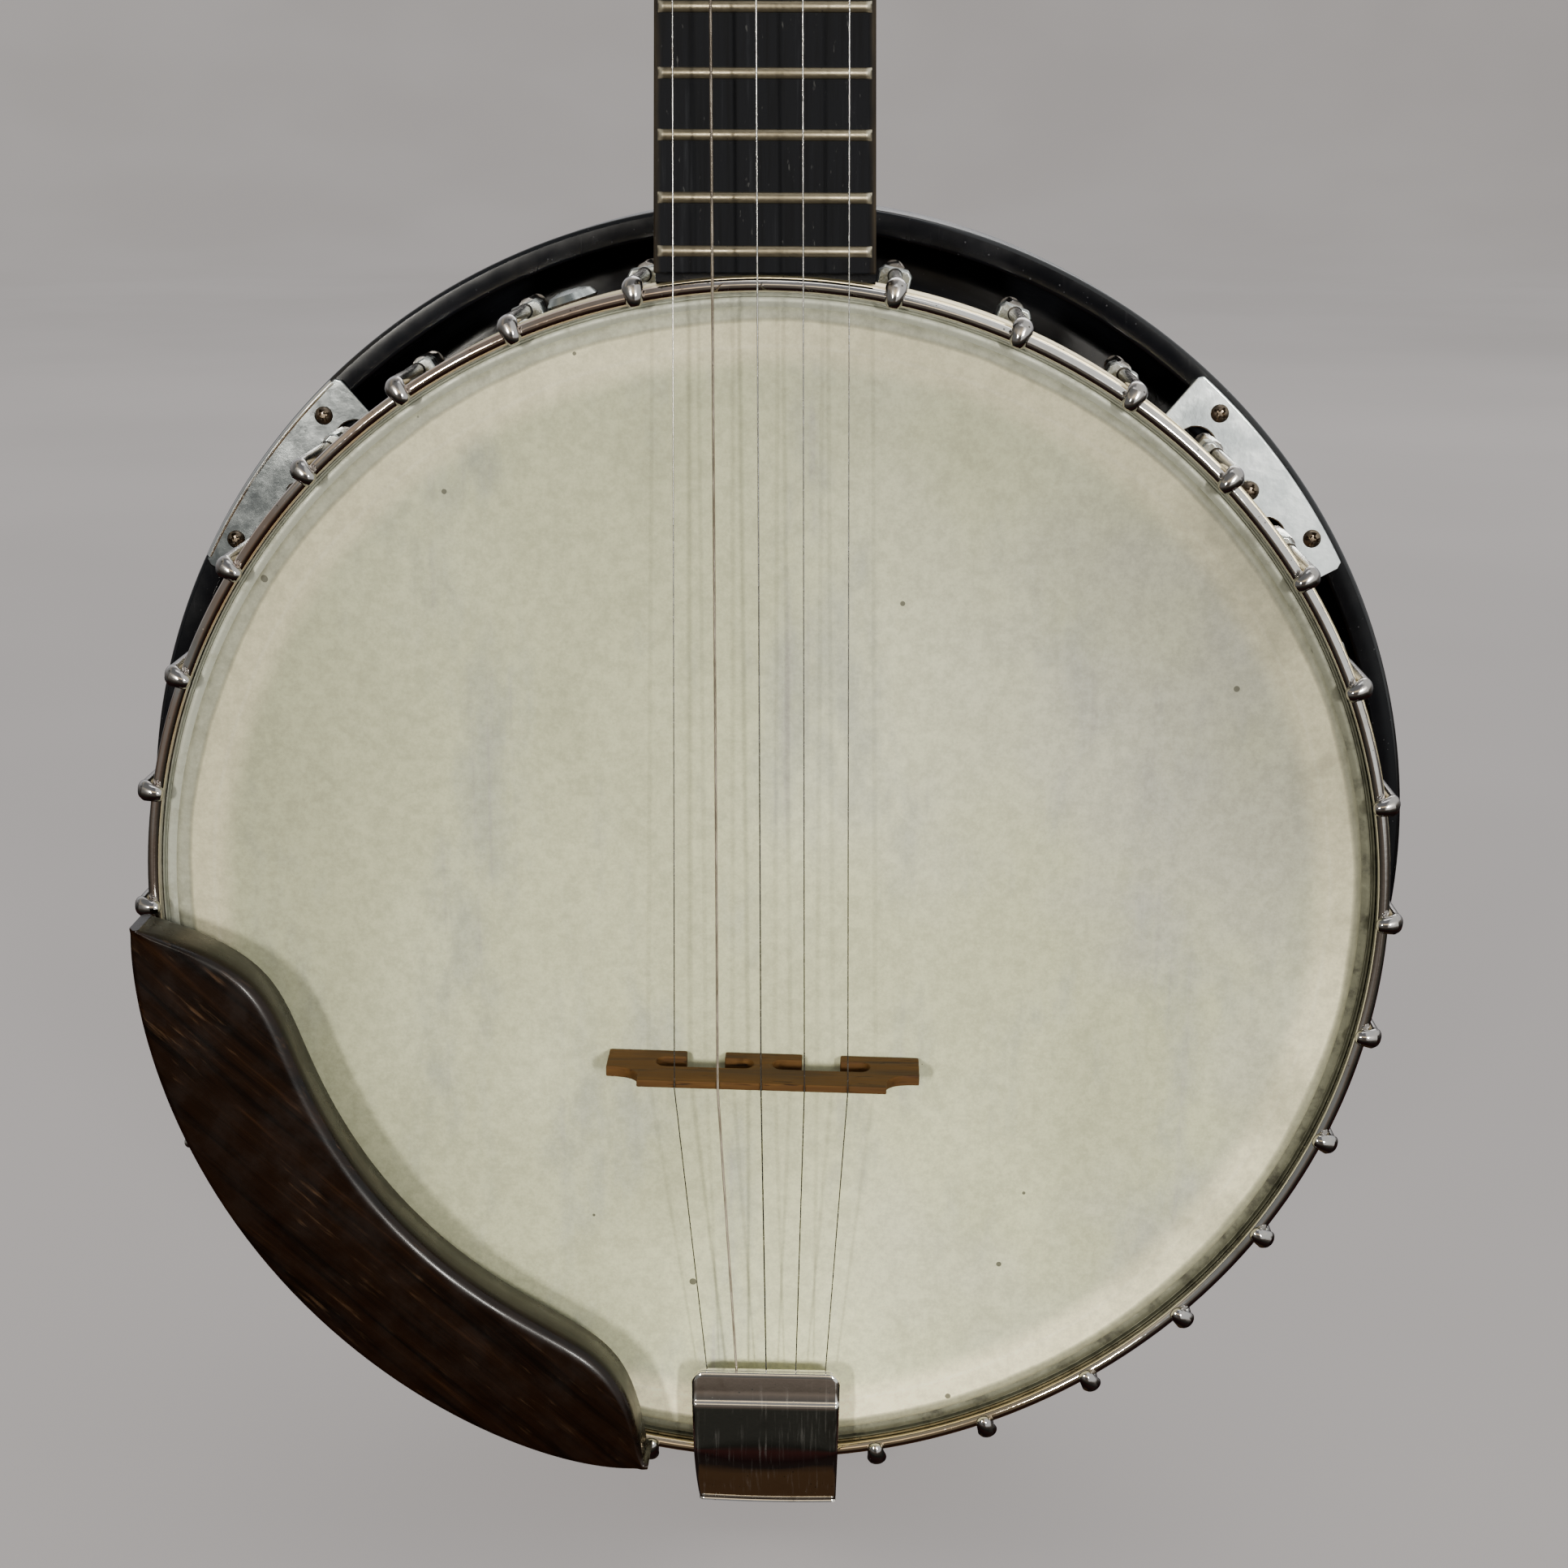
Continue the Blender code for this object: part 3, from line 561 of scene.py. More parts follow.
def lacquer_material(name="black_lacquer", rough=0.16, coat=0.05):
    """Black lacquer with dust, hairline scratches and a soft shine, and painted light that makes it paler
    behind the resonator's front edge.
    """
    p = Paint(name, Coat_Weight=coat, Coat_Roughness=0.1)
    land = (BEAD_Y + RES_FRONT) * MM
    p.set("Specular IOR Level", p.span(p.split()[1], land + 0.003, land + 0.012, 0.17, 0.5))
    dots = p.specks(700, 0.15, 0.78)
    haze = p.ramp(p.noise(20, 5, 0.6), (0.3, (0.0015, 0.0017, 0.0026)), (0.8, (0.0042, 0.0048, 0.007)))
    # Painted light: everything more than about a centimetre behind the resonator's front edge is coloured
    # paler than the front.
    behind = p.span(p.split()[1], land + 0.003, land + 0.012)
    pale = p.ramp(p.noise(14, 5, 0.6), (0.3, (0.007, 0.0075, 0.0095)), (0.8, (0.014, 0.015, 0.018)))
    haze = p.mix(behind, haze, pale)
    p.set("Base Color", p.mix(p.times(dots, 0.25), haze, (0.16, 0.16, 0.17)))
    scratch = p.noise(1, 2, 0.5, p.mapped(scale=(1400, 60, 90), rotation=(0.3, 0.5, 0.9)))
    scratch = p.span(scratch, 0.62, 0.7)
    haze = p.span(p.noise(55, 5, 0.65), 0.3, 0.75, rough, rough + 0.14)
    p.set("Roughness", p.plus(haze, p.times(scratch, 0.03)))
    p.bump(p.noise(320, 3, 0.5), 0.03, 0.0004)
    return p.material


def grain_material(
    name, dark, mid, light, rotation=(0, 0, 0), stretch=(1, 1, 0.06), size=260, rough=(0.32, 0.55),
    pores=0.5, relief=0.12, coat=0.0, gloss=0.5
):
    """Wood: streaks drawn out along one axis, with short pores that follow them."""
    p = Paint(name, Coat_Weight=coat, Coat_Roughness=0.2, Specular_IOR_Level=gloss)
    along = p.mapped(scale=stretch, rotation=rotation)
    streaks = p.noise(size, 6, 0.62, along, distortion=0.25)
    broad = p.noise(size * 0.16, 3, 0.5, along, distortion=0.8)
    colour = p.ramp(streaks, (0.32, dark), (0.52, mid), (0.72, light))
    colour = p.mix(p.span(broad, 0.4, 0.66, 0, 0.45), colour, dark)
    fine = p.noise(size * 3.2, 3, 0.55, along)
    pore = p.span(fine, 0.62, 0.7)
    p.set("Base Color", p.mix(p.times(pore, pores), colour, tuple(c * 0.35 for c in dark)))
    p.set("Roughness", p.span(streaks, 0.3, 0.7, *rough))
    height = p.minus(streaks, p.times(pore, 0.7))
    p.bump(height, relief, 0.0004)
    return p.material


def board_material():
    """Black-stained board with upright grain, worn brown along both edges."""
    p = Paint("ebonised_board", Specular_IOR_Level=0.06)
    along = p.mapped(scale=(1, 1, 0.05))
    grain = p.noise(420, 6, 0.65, along, distortion=0.2)
    colour = p.ramp(
        grain, (0.35, (0.0022, 0.0024, 0.0032)), (0.55, (0.0052, 0.0056, 0.007)),
        (0.8, (0.021, 0.022, 0.025))
    )
    flecks = p.span(p.noise(900, 3, 0.6, p.mapped(scale=(1, 1, 0.3))), 0.66, 0.74)
    colour = p.mix(p.times(flecks, 0.5), colour, (0.075, 0.075, 0.072))
    edge = p.span(p.plus(inside_board(p), p.times(p.noise(60, 3, 0.6), 0.0016)), 0.0008, 0.0026, 1, 0)
    brown = p.ramp(grain, (0.3, (0.014, 0.01, 0.006)), (0.75, (0.065, 0.05, 0.03)))
    p.set("Base Color", p.mix(p.times(edge, 0.75), colour, brown))
    p.set("Roughness", p.span(grain, 0.3, 0.75, 0.5, 0.68))
    p.bump(grain, 0.22, 0.0003)
    return p.material


def walnut_material():
    """Nearly black varnish over open-pored wood, with pale dashes where the varnish has worn."""
    p = Paint("worn_walnut", Coat_Weight=0.15, Coat_Roughness=0.16, Specular_IOR_Level=0.2)
    turned = p.mapped(rotation=(0, math.radians(-43), 0))
    along = p.mapped(scale=(0.045, 1, 1), source=turned)
    grain = p.noise(330, 6, 0.62, along, distortion=0.3)
    colour = p.ramp(
        grain, (0.34, (0.0024, 0.001, 0.0004)), (0.56, (0.0075, 0.0029, 0.0011)),
        (0.8, (0.027, 0.011, 0.0042))
    )
    dashes = p.noise(700, 3, 0.55, p.mapped(scale=(0.1, 1, 1), source=turned))
    patch = p.span(p.noise(55, 4, 0.6), 0.42, 0.68)
    worn = p.times(p.span(dashes, 0.58, 0.72), patch)
    p.set("Base Color", p.mix(p.times(worn, 0.45), colour, (0.095, 0.052, 0.026)))
    p.set("Roughness", p.span(p.noise(120, 5, 0.6), 0.3, 0.7, 0.22, 0.4))
    p.bump(p.minus(grain, p.times(worn, 0.5)), 0.16, 0.0004)
    return p.material


def pearl_material():
    p = Paint("pearl_button", Roughness=0.22, Coat_Weight=0.3)
    swirl = p.noise(150, 4, 0.6, distortion=2.5)
    p.set(
        "Base Color",
        p.ramp(swirl, (0.3, (0.5, 0.45, 0.34)), (0.55, (0.68, 0.64, 0.53)), (0.8, (0.82, 0.8, 0.72)))
    )
    p.set("Roughness", p.span(swirl, 0.3, 0.8, 0.16, 0.32))
    p.bump(swirl, 0.04, 0.0003)
    return p.material


def bone_material():
    p = Paint("nut_bone", Roughness=0.3)
    cloud = p.noise(300, 5, 0.6, p.mapped(scale=(1, 1, 0.4)))
    p.set("Base Color", p.ramp(cloud, (0.3, (0.5, 0.44, 0.3)), (0.7, (0.66, 0.61, 0.47))))
    p.set("Roughness", p.span(cloud, 0.3, 0.7, 0.25, 0.45))
    p.bump(cloud, 0.08, 0.0003)
    return p.material


def wound_material():
    """Wound string: fine rings along its length, dulled silver with a bronze cast."""
    p = Paint("wound_bronze", Metallic=1.0)
    _, _, z = p.split()
    turns = p.math("SINE", p.times(z, 2 * math.pi / 0.00024))
    cloud = p.noise(120, 4, 0.6)
    colour = p.ramp(cloud, (0.3, (0.34, 0.28, 0.22)), (0.7, (0.62, 0.54, 0.45)))
    p.set("Base Color", colour)
    p.set("Roughness", p.span(cloud, 0.3, 0.7, 0.3, 0.48))
    p.bump(turns, 0.7, 0.00006)
    return p.material


def floor_material():
    """A pale floor with a little glow of its own, so that it stays pale far from the lamps."""
    p = Paint("pale_floor", Roughness=0.9, Specular_IOR_Level=0.1, Emission_Strength=1.0)
    shade = p.noise(1.5, 3, 0.5)
    p.set("Base Color", p.ramp(shade, (0.3, (0.15, 0.142, 0.14)), (0.7, (0.165, 0.156, 0.154))))
    p.set("Emission Color", p.ramp(shade, (0.3, (0.315, 0.293, 0.285)), (0.7, (0.335, 0.312, 0.304))))
    return p.material


CHROME = plated("hoop_chrome", (0.66, 0.635, 0.6), rough=0.04, smear=0.06)
LIP_CHROME = plated("plate_lip", (0.92, 0.92, 0.9), rough=0.12, smear=0.08, spots=0.1)
HOOK_CHROME = plated("hook_chrome", (0.44, 0.42, 0.405), rough=0.06, smear=0.08, spots=0.6)
TAIL_CHROME = plated("tailpiece_chrome", (0.74, 0.71, 0.66), rough=0.03, smear=0.05, spots=0.3)
SHOE_NICKEL = plated("shoe_nickel", (0.47, 0.5, 0.48), rough=0.22, smear=0.2, spots=0.8)
BRASS_BAND = plated("hoop_side_brass", (0.9, 0.78, 0.5), rough=0.42, smear=0.12, spots=0.5)
# Painted shadow: near-black metal for the discs that stand for the dark inside of the shoes' bores.
BORE_SHADOW = plated("painted_bore_shadow", (0.02, 0.02, 0.02), rough=0.5, smear=0.2, spots=0.2)
SCREW_BRONZE = plated("screw_bronze", (0.17, 0.135, 0.1), rough=0.28, smear=0.15, spots=0.5)
FRET_METAL = plated(
    "fret_metal", (0.215, 0.185, 0.125), rough=0.3, smear=0.2, spots=0.9, tint=(0.1, 0.08, 0.05),
    scale=220, metallic=0.8
)
STEEL = plated("bright_steel", (0.62, 0.61, 0.58), rough=0.18, smear=0.1, spots=0.1)
STRING_STEEL = plated("string_steel", (0.34, 0.335, 0.32), rough=0.2, smear=0.15, spots=0.3)
LEDGE = ledge_material()
NICKEL = plate_material()
SKIN = skin_material()
LACQUER = lacquer_material()
NECK_LACQUER = lacquer_material("neck_lacquer", 0.2, 0.5)
MAPLE = grain_material(
    "rim_maple", (
        0.13, 0.065, 0.028
    ), (0.24, 0.13, 0.058), (0.34, 0.2, 0.1), stretch=(1, 9, 1), size=34, coat=0.3
)
BRIDGE_WOOD = grain_material(
    "bridge_maple", (0.034, 0.0135, 0.0026), (0.096, 0.0435, 0.0082), (0.152, 0.073, 0.0155),
    stretch=(0.07, 1, 1), size=420, rough=(0.55, 0.75), pores=0.9, relief=0.35, gloss=0.2,
)
BOARD = board_material()
WALNUT = walnut_material()
PEARL = pearl_material()
BONE = bone_material()
WOUND = wound_material()


# Pot


def make_head():
    shoulder = 2.2
    profile = [(0, HEAD_TOP)] + [(r, HEAD_TOP) for r in (60, 110, 130)]
    profile += arc((HEAD_R - shoulder, HEAD_TOP + shoulder), shoulder, -90, 0, 8)
    profile += [(HEAD_R, 10.6), (HEAD_R - 0.6, 10.6), (HEAD_R - 0.6, HEAD_TOP + shoulder)]
    profile += [(HEAD_R - shoulder, HEAD_TOP + 0.7), (0, HEAD_TOP + 0.7)]
    lathed("head_film", profile, 192, SKIN, slot="skin", replaces=("head",))
    inner, outer = HEAD_R + 0.15, FLESH_R
    middle, half = (inner + outer) / 2, (outer - inner) / 2
    lathed(
        "flesh_hoop", arc((middle, 6.4), half, 180, 360, 8) + [(outer, 10.9), (inner, 10.9)], 160, LEDGE,
        slot="chrome"
    )


def make_hoop():
    inner, side = BEAD_R - 1.5, BEAD_R + 0.8
    bead = arc((BEAD_R, 0), 1.5, 60, -196, 18)
    lathed(
        "hoop_bead", bead + [(inner, HOOP_BACK), (side - 1.2, HOOP_BACK), (side - 1.2, 2.0)], 256,
        CHROME, slot="chrome", replaces=("tension_hoop",)
    )
    outer = BEAD_R + 1.45
    bm = bmesh.new()
    lathe(
        bm,
        [
            (side - 1.0, 1.5), (outer - 0.3, 1.7), (outer, 2.2), (outer, HOOP_BACK - 0.5),
            (side - 1.0, HOOP_BACK - 0.2)
        ],
        256
    )
    bmesh.ops.translate(bm, vec=Vector((0.55, 0, 0.4)) * MM, verts=bm.verts)
    piece("hoop_side_band", bm, BRASS_BAND, slot="chrome")
    low, high = HEAD_R - 0.5, inner + 0.1
    crown = [(high, 2.4), (high - 0.15, 1.7), (high - 0.45, 1.65), (high - 0.65, 2.7), (high - 0.95, 2.8)]
    crown += [(high - 1.2, 1.9), (high - 1.7, 1.65), (high - 2.4, 1.75), (low, 2.1)]
    lathed("hoop_ledge", crown + [(low, 3.6), (high, 4.2)], 256, LEDGE, slot="chrome")


def hook_mesh():
    """A hook at the neck's place, over the bead: rod, broad domed shoulder and blunt round nose."""
    path = [(HOOK_R, SHOE_BACK + 12.4, 1.1), (HOOK_R, SHOE_BACK + 12.0, 1.5), (HOOK_R, 1.8, 1.5)]
    path += [
        (HOOK_R, 0.3, 1.5), (HOOK_R - 0.1, -0.8, 1.6), (HOOK_R - 0.5, -1.8, 1.75),
        (HOOK_R - 1.2, -2.5, 1.8)
    ]
    path += [
        (HOOK_R - 2.2, -2.85, 1.7), (BEAD_R, -2.9, 1.65), (BEAD_R - 0.75, -2.8, 1.6),
        (BEAD_R - 1.25, -2.7, 1.4)
    ]
    path += [(BEAD_R - 1.6, -2.55, 1.1), (BEAD_R - 1.8, -2.5, 0.7), (BEAD_R - 1.9, -2.45, 0.25)]
    bm = bmesh.new()
    sweep(bm, [(at(0, depth, radius), size) for radius, depth, size in path], 24)
    for vert in bm.verts:
        front = min(1.0, max(0.0, (at(0, 0.5, 0).y - vert.co.y) / (1.5 * MM)))
        over = min(1.0, max(0.0, (vert.co.z / MM - BEAD_R) / 2.5))
        vert.co.x *= 1 + (0.2 + 0.16 * over) * front
    return bm


def nut_mesh(bm, radius, front, length, bore):
    """A hexagonal nut with rounded corners and a collar at each end."""
    steps = 36
    sections = ((front, 0.8), (front + 0.5, 0.93), (front + 1.0, 1.0), (front + length - 1.2, 1.0))
    sections += ((front + length - 0.6, 0.93), (front + length, 0.78))
    rings = []
    for depth, share in sections:
        ring = []
        for k in range(steps):
            turn = 2 * math.pi * k / steps
            sector = (turn + math.pi / 6) % (math.pi / 3) - math.pi / 6
            hexagon = radius * math.cos(math.pi / 6) / math.cos(sector)
            reach = min(hexagon, radius * share)
            ring.append(at(reach * math.cos(turn), depth, HOOK_R + reach * math.sin(turn)))
        rings.append(ring)
    loft(bm, rings)
    for depth in (front - 0.01, front + length + 0.01):
        thick = 0.3
        path = [(at(0, depth - thick, HOOK_R), bore + 1.2), (at(0, depth + thick, HOOK_R), bore + 1.2)]
        sweep(bm, path, 20)


def thread_mesh(bm):
    """The hook's threaded tail, under the nut."""
    path = []
    depth = SHOE_BACK + 10.6
    while depth < SHOE_BACK + 12.0:
        path += [(at(0, depth, HOOK_R), 1.6), (at(0, depth + 0.3, HOOK_R), 1.35)]
        depth += 0.6
    sweep(bm, path, 16)


def shoe_mesh():
    """A bracket shoe at the neck's place: oval foot on the rim and a square lug for the hook."""
    sides = 28
    rings = []
    for radius, width in (
        (RIM_R - 0.3, 1.0), (RIM_R + 1.4, 1.0), (RIM_R + 2.5, 0.84), (RIM_R + 3.1, 0.5)
    ):
        ring = []
        for t in circle(sides):
            across, along = 4.6 * math.cos(t) * width, 8.0 * math.sin(t) * width
            ring.append(at(across, (SHOE_FRONT + SHOE_BACK) / 2 + along, radius))
        rings.append(ring)
    bm = bmesh.new()
    loft(bm, rings)
    half, near, edge = 3.9, RIM_R + 1.0, HOOK_R + 1.7
    outline = [
        (near, -half), (edge - 1.2, -half), (edge, 1.1 - half), (edge, half - 1.1), (edge - 1.2, half),
        (near, half)
    ]
    prism(bm, [at(x, SHOE_FRONT, r) for r, x in outline], Vector((0, 6 * MM, 0)))
    return bm


def turned(degrees, twist=0.0):
    """Places a thing made at the neck's place at another one round the pot, twisted about its own rod."""
    spin = Matrix.Rotation(math.radians(degrees), 4, "Y")
    there = Matrix.Translation((0, 0, HOOK_R * MM))
    return spin @ there @ Matrix.Rotation(math.radians(twist), 4, "Y") @ there.inverted()


def make_hooks():
    hook = smooth_mesh("hook", hook_mesh(), HOOK_CHROME, 28)
    nut = bmesh.new()
    nut_mesh(nut, 2.6, SHOE_FRONT + 6.5, 14, 1.3)
    thread_mesh(nut)
    nut = smooth_mesh("hook_nut", nut, HOOK_CHROME, 30)
    shoe = smooth_mesh("shoe", shoe_mesh(), SHOE_NICKEL, 30)
    # Painted shadow: a dark disc at the front of each shoe's lug, round the hook's rod, where the bore
    # is.
    bore = bmesh.new()
    sweep(bore, [(at(0, SHOE_FRONT + d, HOOK_R), 1.75) for d in (0.4, -0.05)], 24)
    bore = smooth_mesh("shoe_bore_shadow", bore, BORE_SHADOW, 30)
    for number, degrees in enumerate(hook_degrees(), 1):
        matrix = turned(degrees, RNG.uniform(-3, 3))
        place(
            f"hook_{number:02d}", hook, slot="chrome", replaces=(f"tension_hook_{number:02d}",),
            matrix=matrix
        )
        place(f"hook_nut_{number:02d}", nut, slot="chrome", matrix=turned(degrees, RNG.uniform(0, 60)))
        matrix = turned(degrees, RNG.uniform(-4, 4))
        bevel(place(f"shoe_{number:02d}", shoe, slot="chrome", matrix=matrix), 0.5, 3, 50)
        place(f"shoe_bore_shadow_{number:02d}", bore, slot="chrome", matrix=matrix)


def make_rim():
    front = HEAD_TOP + 1.2
    shell = [(RIM_R - 4, front), (RIM_R - 0.8, front), (RIM_R, front + 0.8), (RIM_R, RIM_BACK - 1)]
    shell += [(RIM_R - 1, RIM_BACK), (RIM_IN + 1, RIM_BACK), (RIM_IN, RIM_BACK - 1)]
    shell += [(RIM_IN, front + 6), (RIM_R - 8, front + 5)]
    lathed("rim_shell", shell, 160, MAPLE, slot="maple", replaces=("rim",))
    lathed("tone_ring", arc((RIM_R - 8.2, front + 2.0), 1.9, 0, 330, 11), 128, BRASS_BAND, slot="nickel")
    bolts = bmesh.new()
    head = at(0, (SHOE_FRONT + SHOE_BACK) / 2 + 3.5, RIM_IN - 0.2)
    sweep(
        bolts,
        [
            (head + Vector((0, 0, z * MM)), r) for z,
            r in ((0.4, 3.6), (-1.6, 3.6), (-2.2, 2.9), (-2.3, 0.5))
        ],
        18
    )
    mesh = smooth_mesh("shoe_bolt", bolts, STEEL, 30)
    for number, degrees in enumerate(hook_degrees(), 1):
        place(f"shoe_bolt_{number:02d}", mesh, slot="steel", matrix=turned(degrees))


def make_resonator():
    inner = RES_R - 6.0
    profile = [(0, BODY_DEPTH), (60, BODY_DEPTH), (99, BODY_DEPTH)]
    profile += [(130, BODY_DEPTH - 0.7), (RES_R - 10, BODY_DEPTH - 1.9)]
    profile += arc((RES_R - 9, BODY_DEPTH - 10.9), 9, 90, 0, 10)
    profile += [(RES_R, RES_FRONT + 20)] + arc((RES_R - 1, RES_FRONT + 1), 1, 0, -90, 5)
    profile += arc((inner + 0.8, RES_FRONT + 0.8), 0.8, 270, 180, 4)
    profile += [(inner, BODY_DEPTH - 14)] + arc((inner - 8, BODY_DEPTH - 14), 8, 0, 90, 6)
    profile += [(110, BODY_DEPTH - 5), (0, BODY_DEPTH - 5)]
    lathed("resonator_bowl", profile, 256, LACQUER, slot="black_lacquer", replaces=("resonator",))
    lathed(
        "resonator_edge_line",
        arc((RES_R - 1.15, RES_FRONT + 1.15), 1.25, -10, -80, 4) + [(RES_R - 1.3, RES_FRONT + 1.3)], 256,
        lacquer_material("polished_edge", 0.1, 0.8), slot="black_lacquer"
    )
    for index, (centre, _, screws) in enumerate(PLATES, 1):
        for side, label in ((-1, "a"), (1, "b")):
            outline = [(146.8, -4.8), (inner + 0.5, -4.8), (inner + 0.5, 4.8), (146.8, 4.8)]
            spin = Matrix.Rotation(math.radians(centre + side * screws), 4, "Y")
            bevel(
                extruded(
                    f"plate_lug_{index}{label}", [spin @ at(x, RES_FRONT + 0.6, r) for r, x in outline],
                    Vector((0, 17.6 * MM, 0)), LACQUER, slot="black_lacquer"
                ),
                1.0
            )


def make_plates():
    """Flange plates that slope back a little, with a bite round each hook and three screws each."""
    low, hooks = 142.9, hook_degrees()
    for index, (centre, half, screws) in enumerate(PLATES, 1):
        rolled = centre > 180
        high = 159.2 if rolled else 158.5
        rings = [[], []]
        outline = [(high, centre + half * t) for t in steps_between(-0.965, 0.965, 22)]
        outline += [(high - 1.4, centre + half)]
        for t in steps_between(1, -1, 72):
            degrees = centre + half * t
            reach = low
            for hook in hooks:
                off = math.radians(degrees - hook) * (HOOK_R - 2.3)
                if abs(off) < 5.1:
                    reach = max(reach, HOOK_R - 2.3 + math.sqrt(5.1**2 - off**2))
            outline.append((reach, degrees))
        outline += [(high - 1.4, centre - half)]
        for radius, degrees in outline:
            back = (radius - low) * 0.07
            rings[0].append(around(radius, PLATE_FRONT + back, degrees))
            rings[1].append(around(radius, PLATE_FRONT + back + 1.3, degrees))
        plate = lofted(
            f"plate_{index}", rings, NICKEL, slot="nickel", replaces=(f"flange_plate_{index}",)
        )
        bevel(plate, 0.4, 3, 30)
        if rolled:
            turns = steps_between(centre - half * 0.93, centre + half * 0.93, 40)
            swept(
                f"plate_lip_{index}",
                [(around(high - 0.35, PLATE_FRONT + 1.75, a), 0.85) for a in turns], 12, LIP_CHROME,
                slot="nickel"
            )
        for side, label in ((-1, "a"), (1, "b")):
            spot = around(154.8, PLATE_FRONT + 0.75, centre + side * screws)
            screw(f"plate_screw_{index}{label}", spot, 2.25, SCREW_BRONZE, "nickel", RNG.uniform(0, 90))
        spot = around(148.3, PLATE_FRONT - 0.8, centre)
        screw(f"plate_screw_{index}c", spot, 2.4, SCREW_BRONZE, "nickel", RNG.uniform(0, 90), dome=1.8)


def screw(name, spot, radius, material, slot, turn, dome=1.3):
    """A pan head with a cross recess, facing forward at the spot."""
    sides, rows = 32, 7
    rings = [
        [spot + Vector((radius * MM * math.cos(t), 0, radius * MM * math.sin(t))) for t in circle(sides)]
    ]
    for row in range(1, rows):
        tilt = math.pi / 2 * row / rows
        reach, lift = radius * math.cos(tilt), dome * math.sin(tilt)
        ring = []
        for t in circle(sides):
            x, z = reach * math.cos(t), reach * math.sin(t)
            u = x * math.cos(math.radians(turn)) + z * math.sin(math.radians(turn))
            v = -x * math.sin(math.radians(turn)) + z * math.cos(math.radians(turn))
            arm = min(abs(u), abs(v)) < 0.16 * radius and max(abs(u), abs(v)) < 0.62 * radius
            ring.append(spot + Vector((x * MM, -(lift - (0.75 if arm else 0)) * MM, z * MM)))
        rings.append(ring)
    bm = bmesh.new()
    loft(bm, rings)
    return piece(name, bm, material, slot=slot, sharp=40)


# Strings, bridge and tailpiece


def string_route(i):
    """The string's path as the CAD has it: tailpiece, bridge, nut and post, or the fifth peg."""
    over_bridge, over_nut = BRIDGE_TOP - 0.6, -2.1
    path = [
        at(TAIL_STRING_X[i], -5.1, -143.0),
        at(TAIL_STRING_X[i], -5.7, -118.0),
        at(BRIDGE_X[i], over_bridge, BRIDGE_Z - 0.6),
        at(BRIDGE_X[i], over_bridge, BRIDGE_Z + 0.6),
    ]
    if i < 4:
        across, up = TUNERS[i]
        inside = across - math.copysign(2.5 + STRING_R[i] + 0.15, across)
        path += [at(NUT_X[i], over_nut, NUT_Z), at(NUT_X[i], over_nut, NUT_Z + 4.9)]
        return path + [on_headstock(inside, up + 1, STRING_ON_POST)]
    path.append(at(NUT_X[i], over_nut, FIFTH_STEP_Z - 3.5))
    return path + [
        Vector(((PEG[0] - 3.2) * MM, (PEG[1] - 3.4 - STRING_R[i] - 0.2) * MM, (PEG[2] + 0.5) * MM))
    ]


def make_strings():
    for i, radius in enumerate(STRING_R):
        bm = bmesh.new()
        sweep(bm, [(point, radius) for point in string_route(i)], 10)
        material, slot = (WOUND, "bronze") if i == 3 else (STRING_STEEL, "steel")
        piece(f"string_line_{i + 1}", bm, material, slot=slot, replaces=(f"string_{i + 1}",), sharp=60)
        if i > 3:
            continue
        across, up = TUNERS[i]
        coil = []
        for k in range(12 * 3 + 1):
            turn = 2 * math.pi * k / 12
            reach = 2.62 + radius
            out = STRING_ON_POST - 0.9 + 2.3 * radius * k / 12
            x, y = across + reach * math.cos(turn), up + reach * math.sin(turn)
            coil.append((on_headstock(x, y, out), radius))
        swept(f"string_coil_{i + 1}", coil, 8, material, body=f"post_{i + 1}", slot=slot, sharp=60)


def make_bridge():
    half_top, half_foot, height = 29.2, 37.0, HEAD_TOP - GAP - BRIDGE_TOP
    gap, slot, middle, end = (9.2, 18.3), (4.6, 23.0), 5.7, 2.4
    turns = [math.pi * k / 10 for k in range(11)]
    near = [(slot[0] - end * math.sin(t), middle - end * math.cos(t)) for t in turns]
    far = [(slot[1] + end * math.sin(t), middle + end * math.cos(t)) for t in turns]
    right = [(gap[0], 0), (gap[0], middle - end)] + near + far
    right += [(gap[1], middle - end), (gap[1], 0), (half_foot, 0), (half_foot, 9.2)]
    right += [(34.6, 9.35), (32.6, 9.8), (31.0, 10.6), (29.9, 11.8), (half_top, 13.2), (half_top, height)]
    outline = right + [(-u, h) for u, h in reversed(right)]
    faces = []
    for side in (-1, 1):
        ring = []
        for u, h in outline:
            thick = 1.9 + (0.9 - 1.9) * h / height
            across = u * math.cos(BRIDGE_TURN) - side * thick * math.sin(BRIDGE_TURN)
            up = u * math.sin(BRIDGE_TURN) + side * thick * math.cos(BRIDGE_TURN)
            ring.append(at(across, HEAD_TOP - GAP - h, BRIDGE_Z + up))
        faces.append(ring)
    bridge = lofted("bridge_body", faces, BRIDGE_WOOD, slot="bridge_maple", replaces=("bridge",))
    bevel(bridge, 0.28, 2, 25)


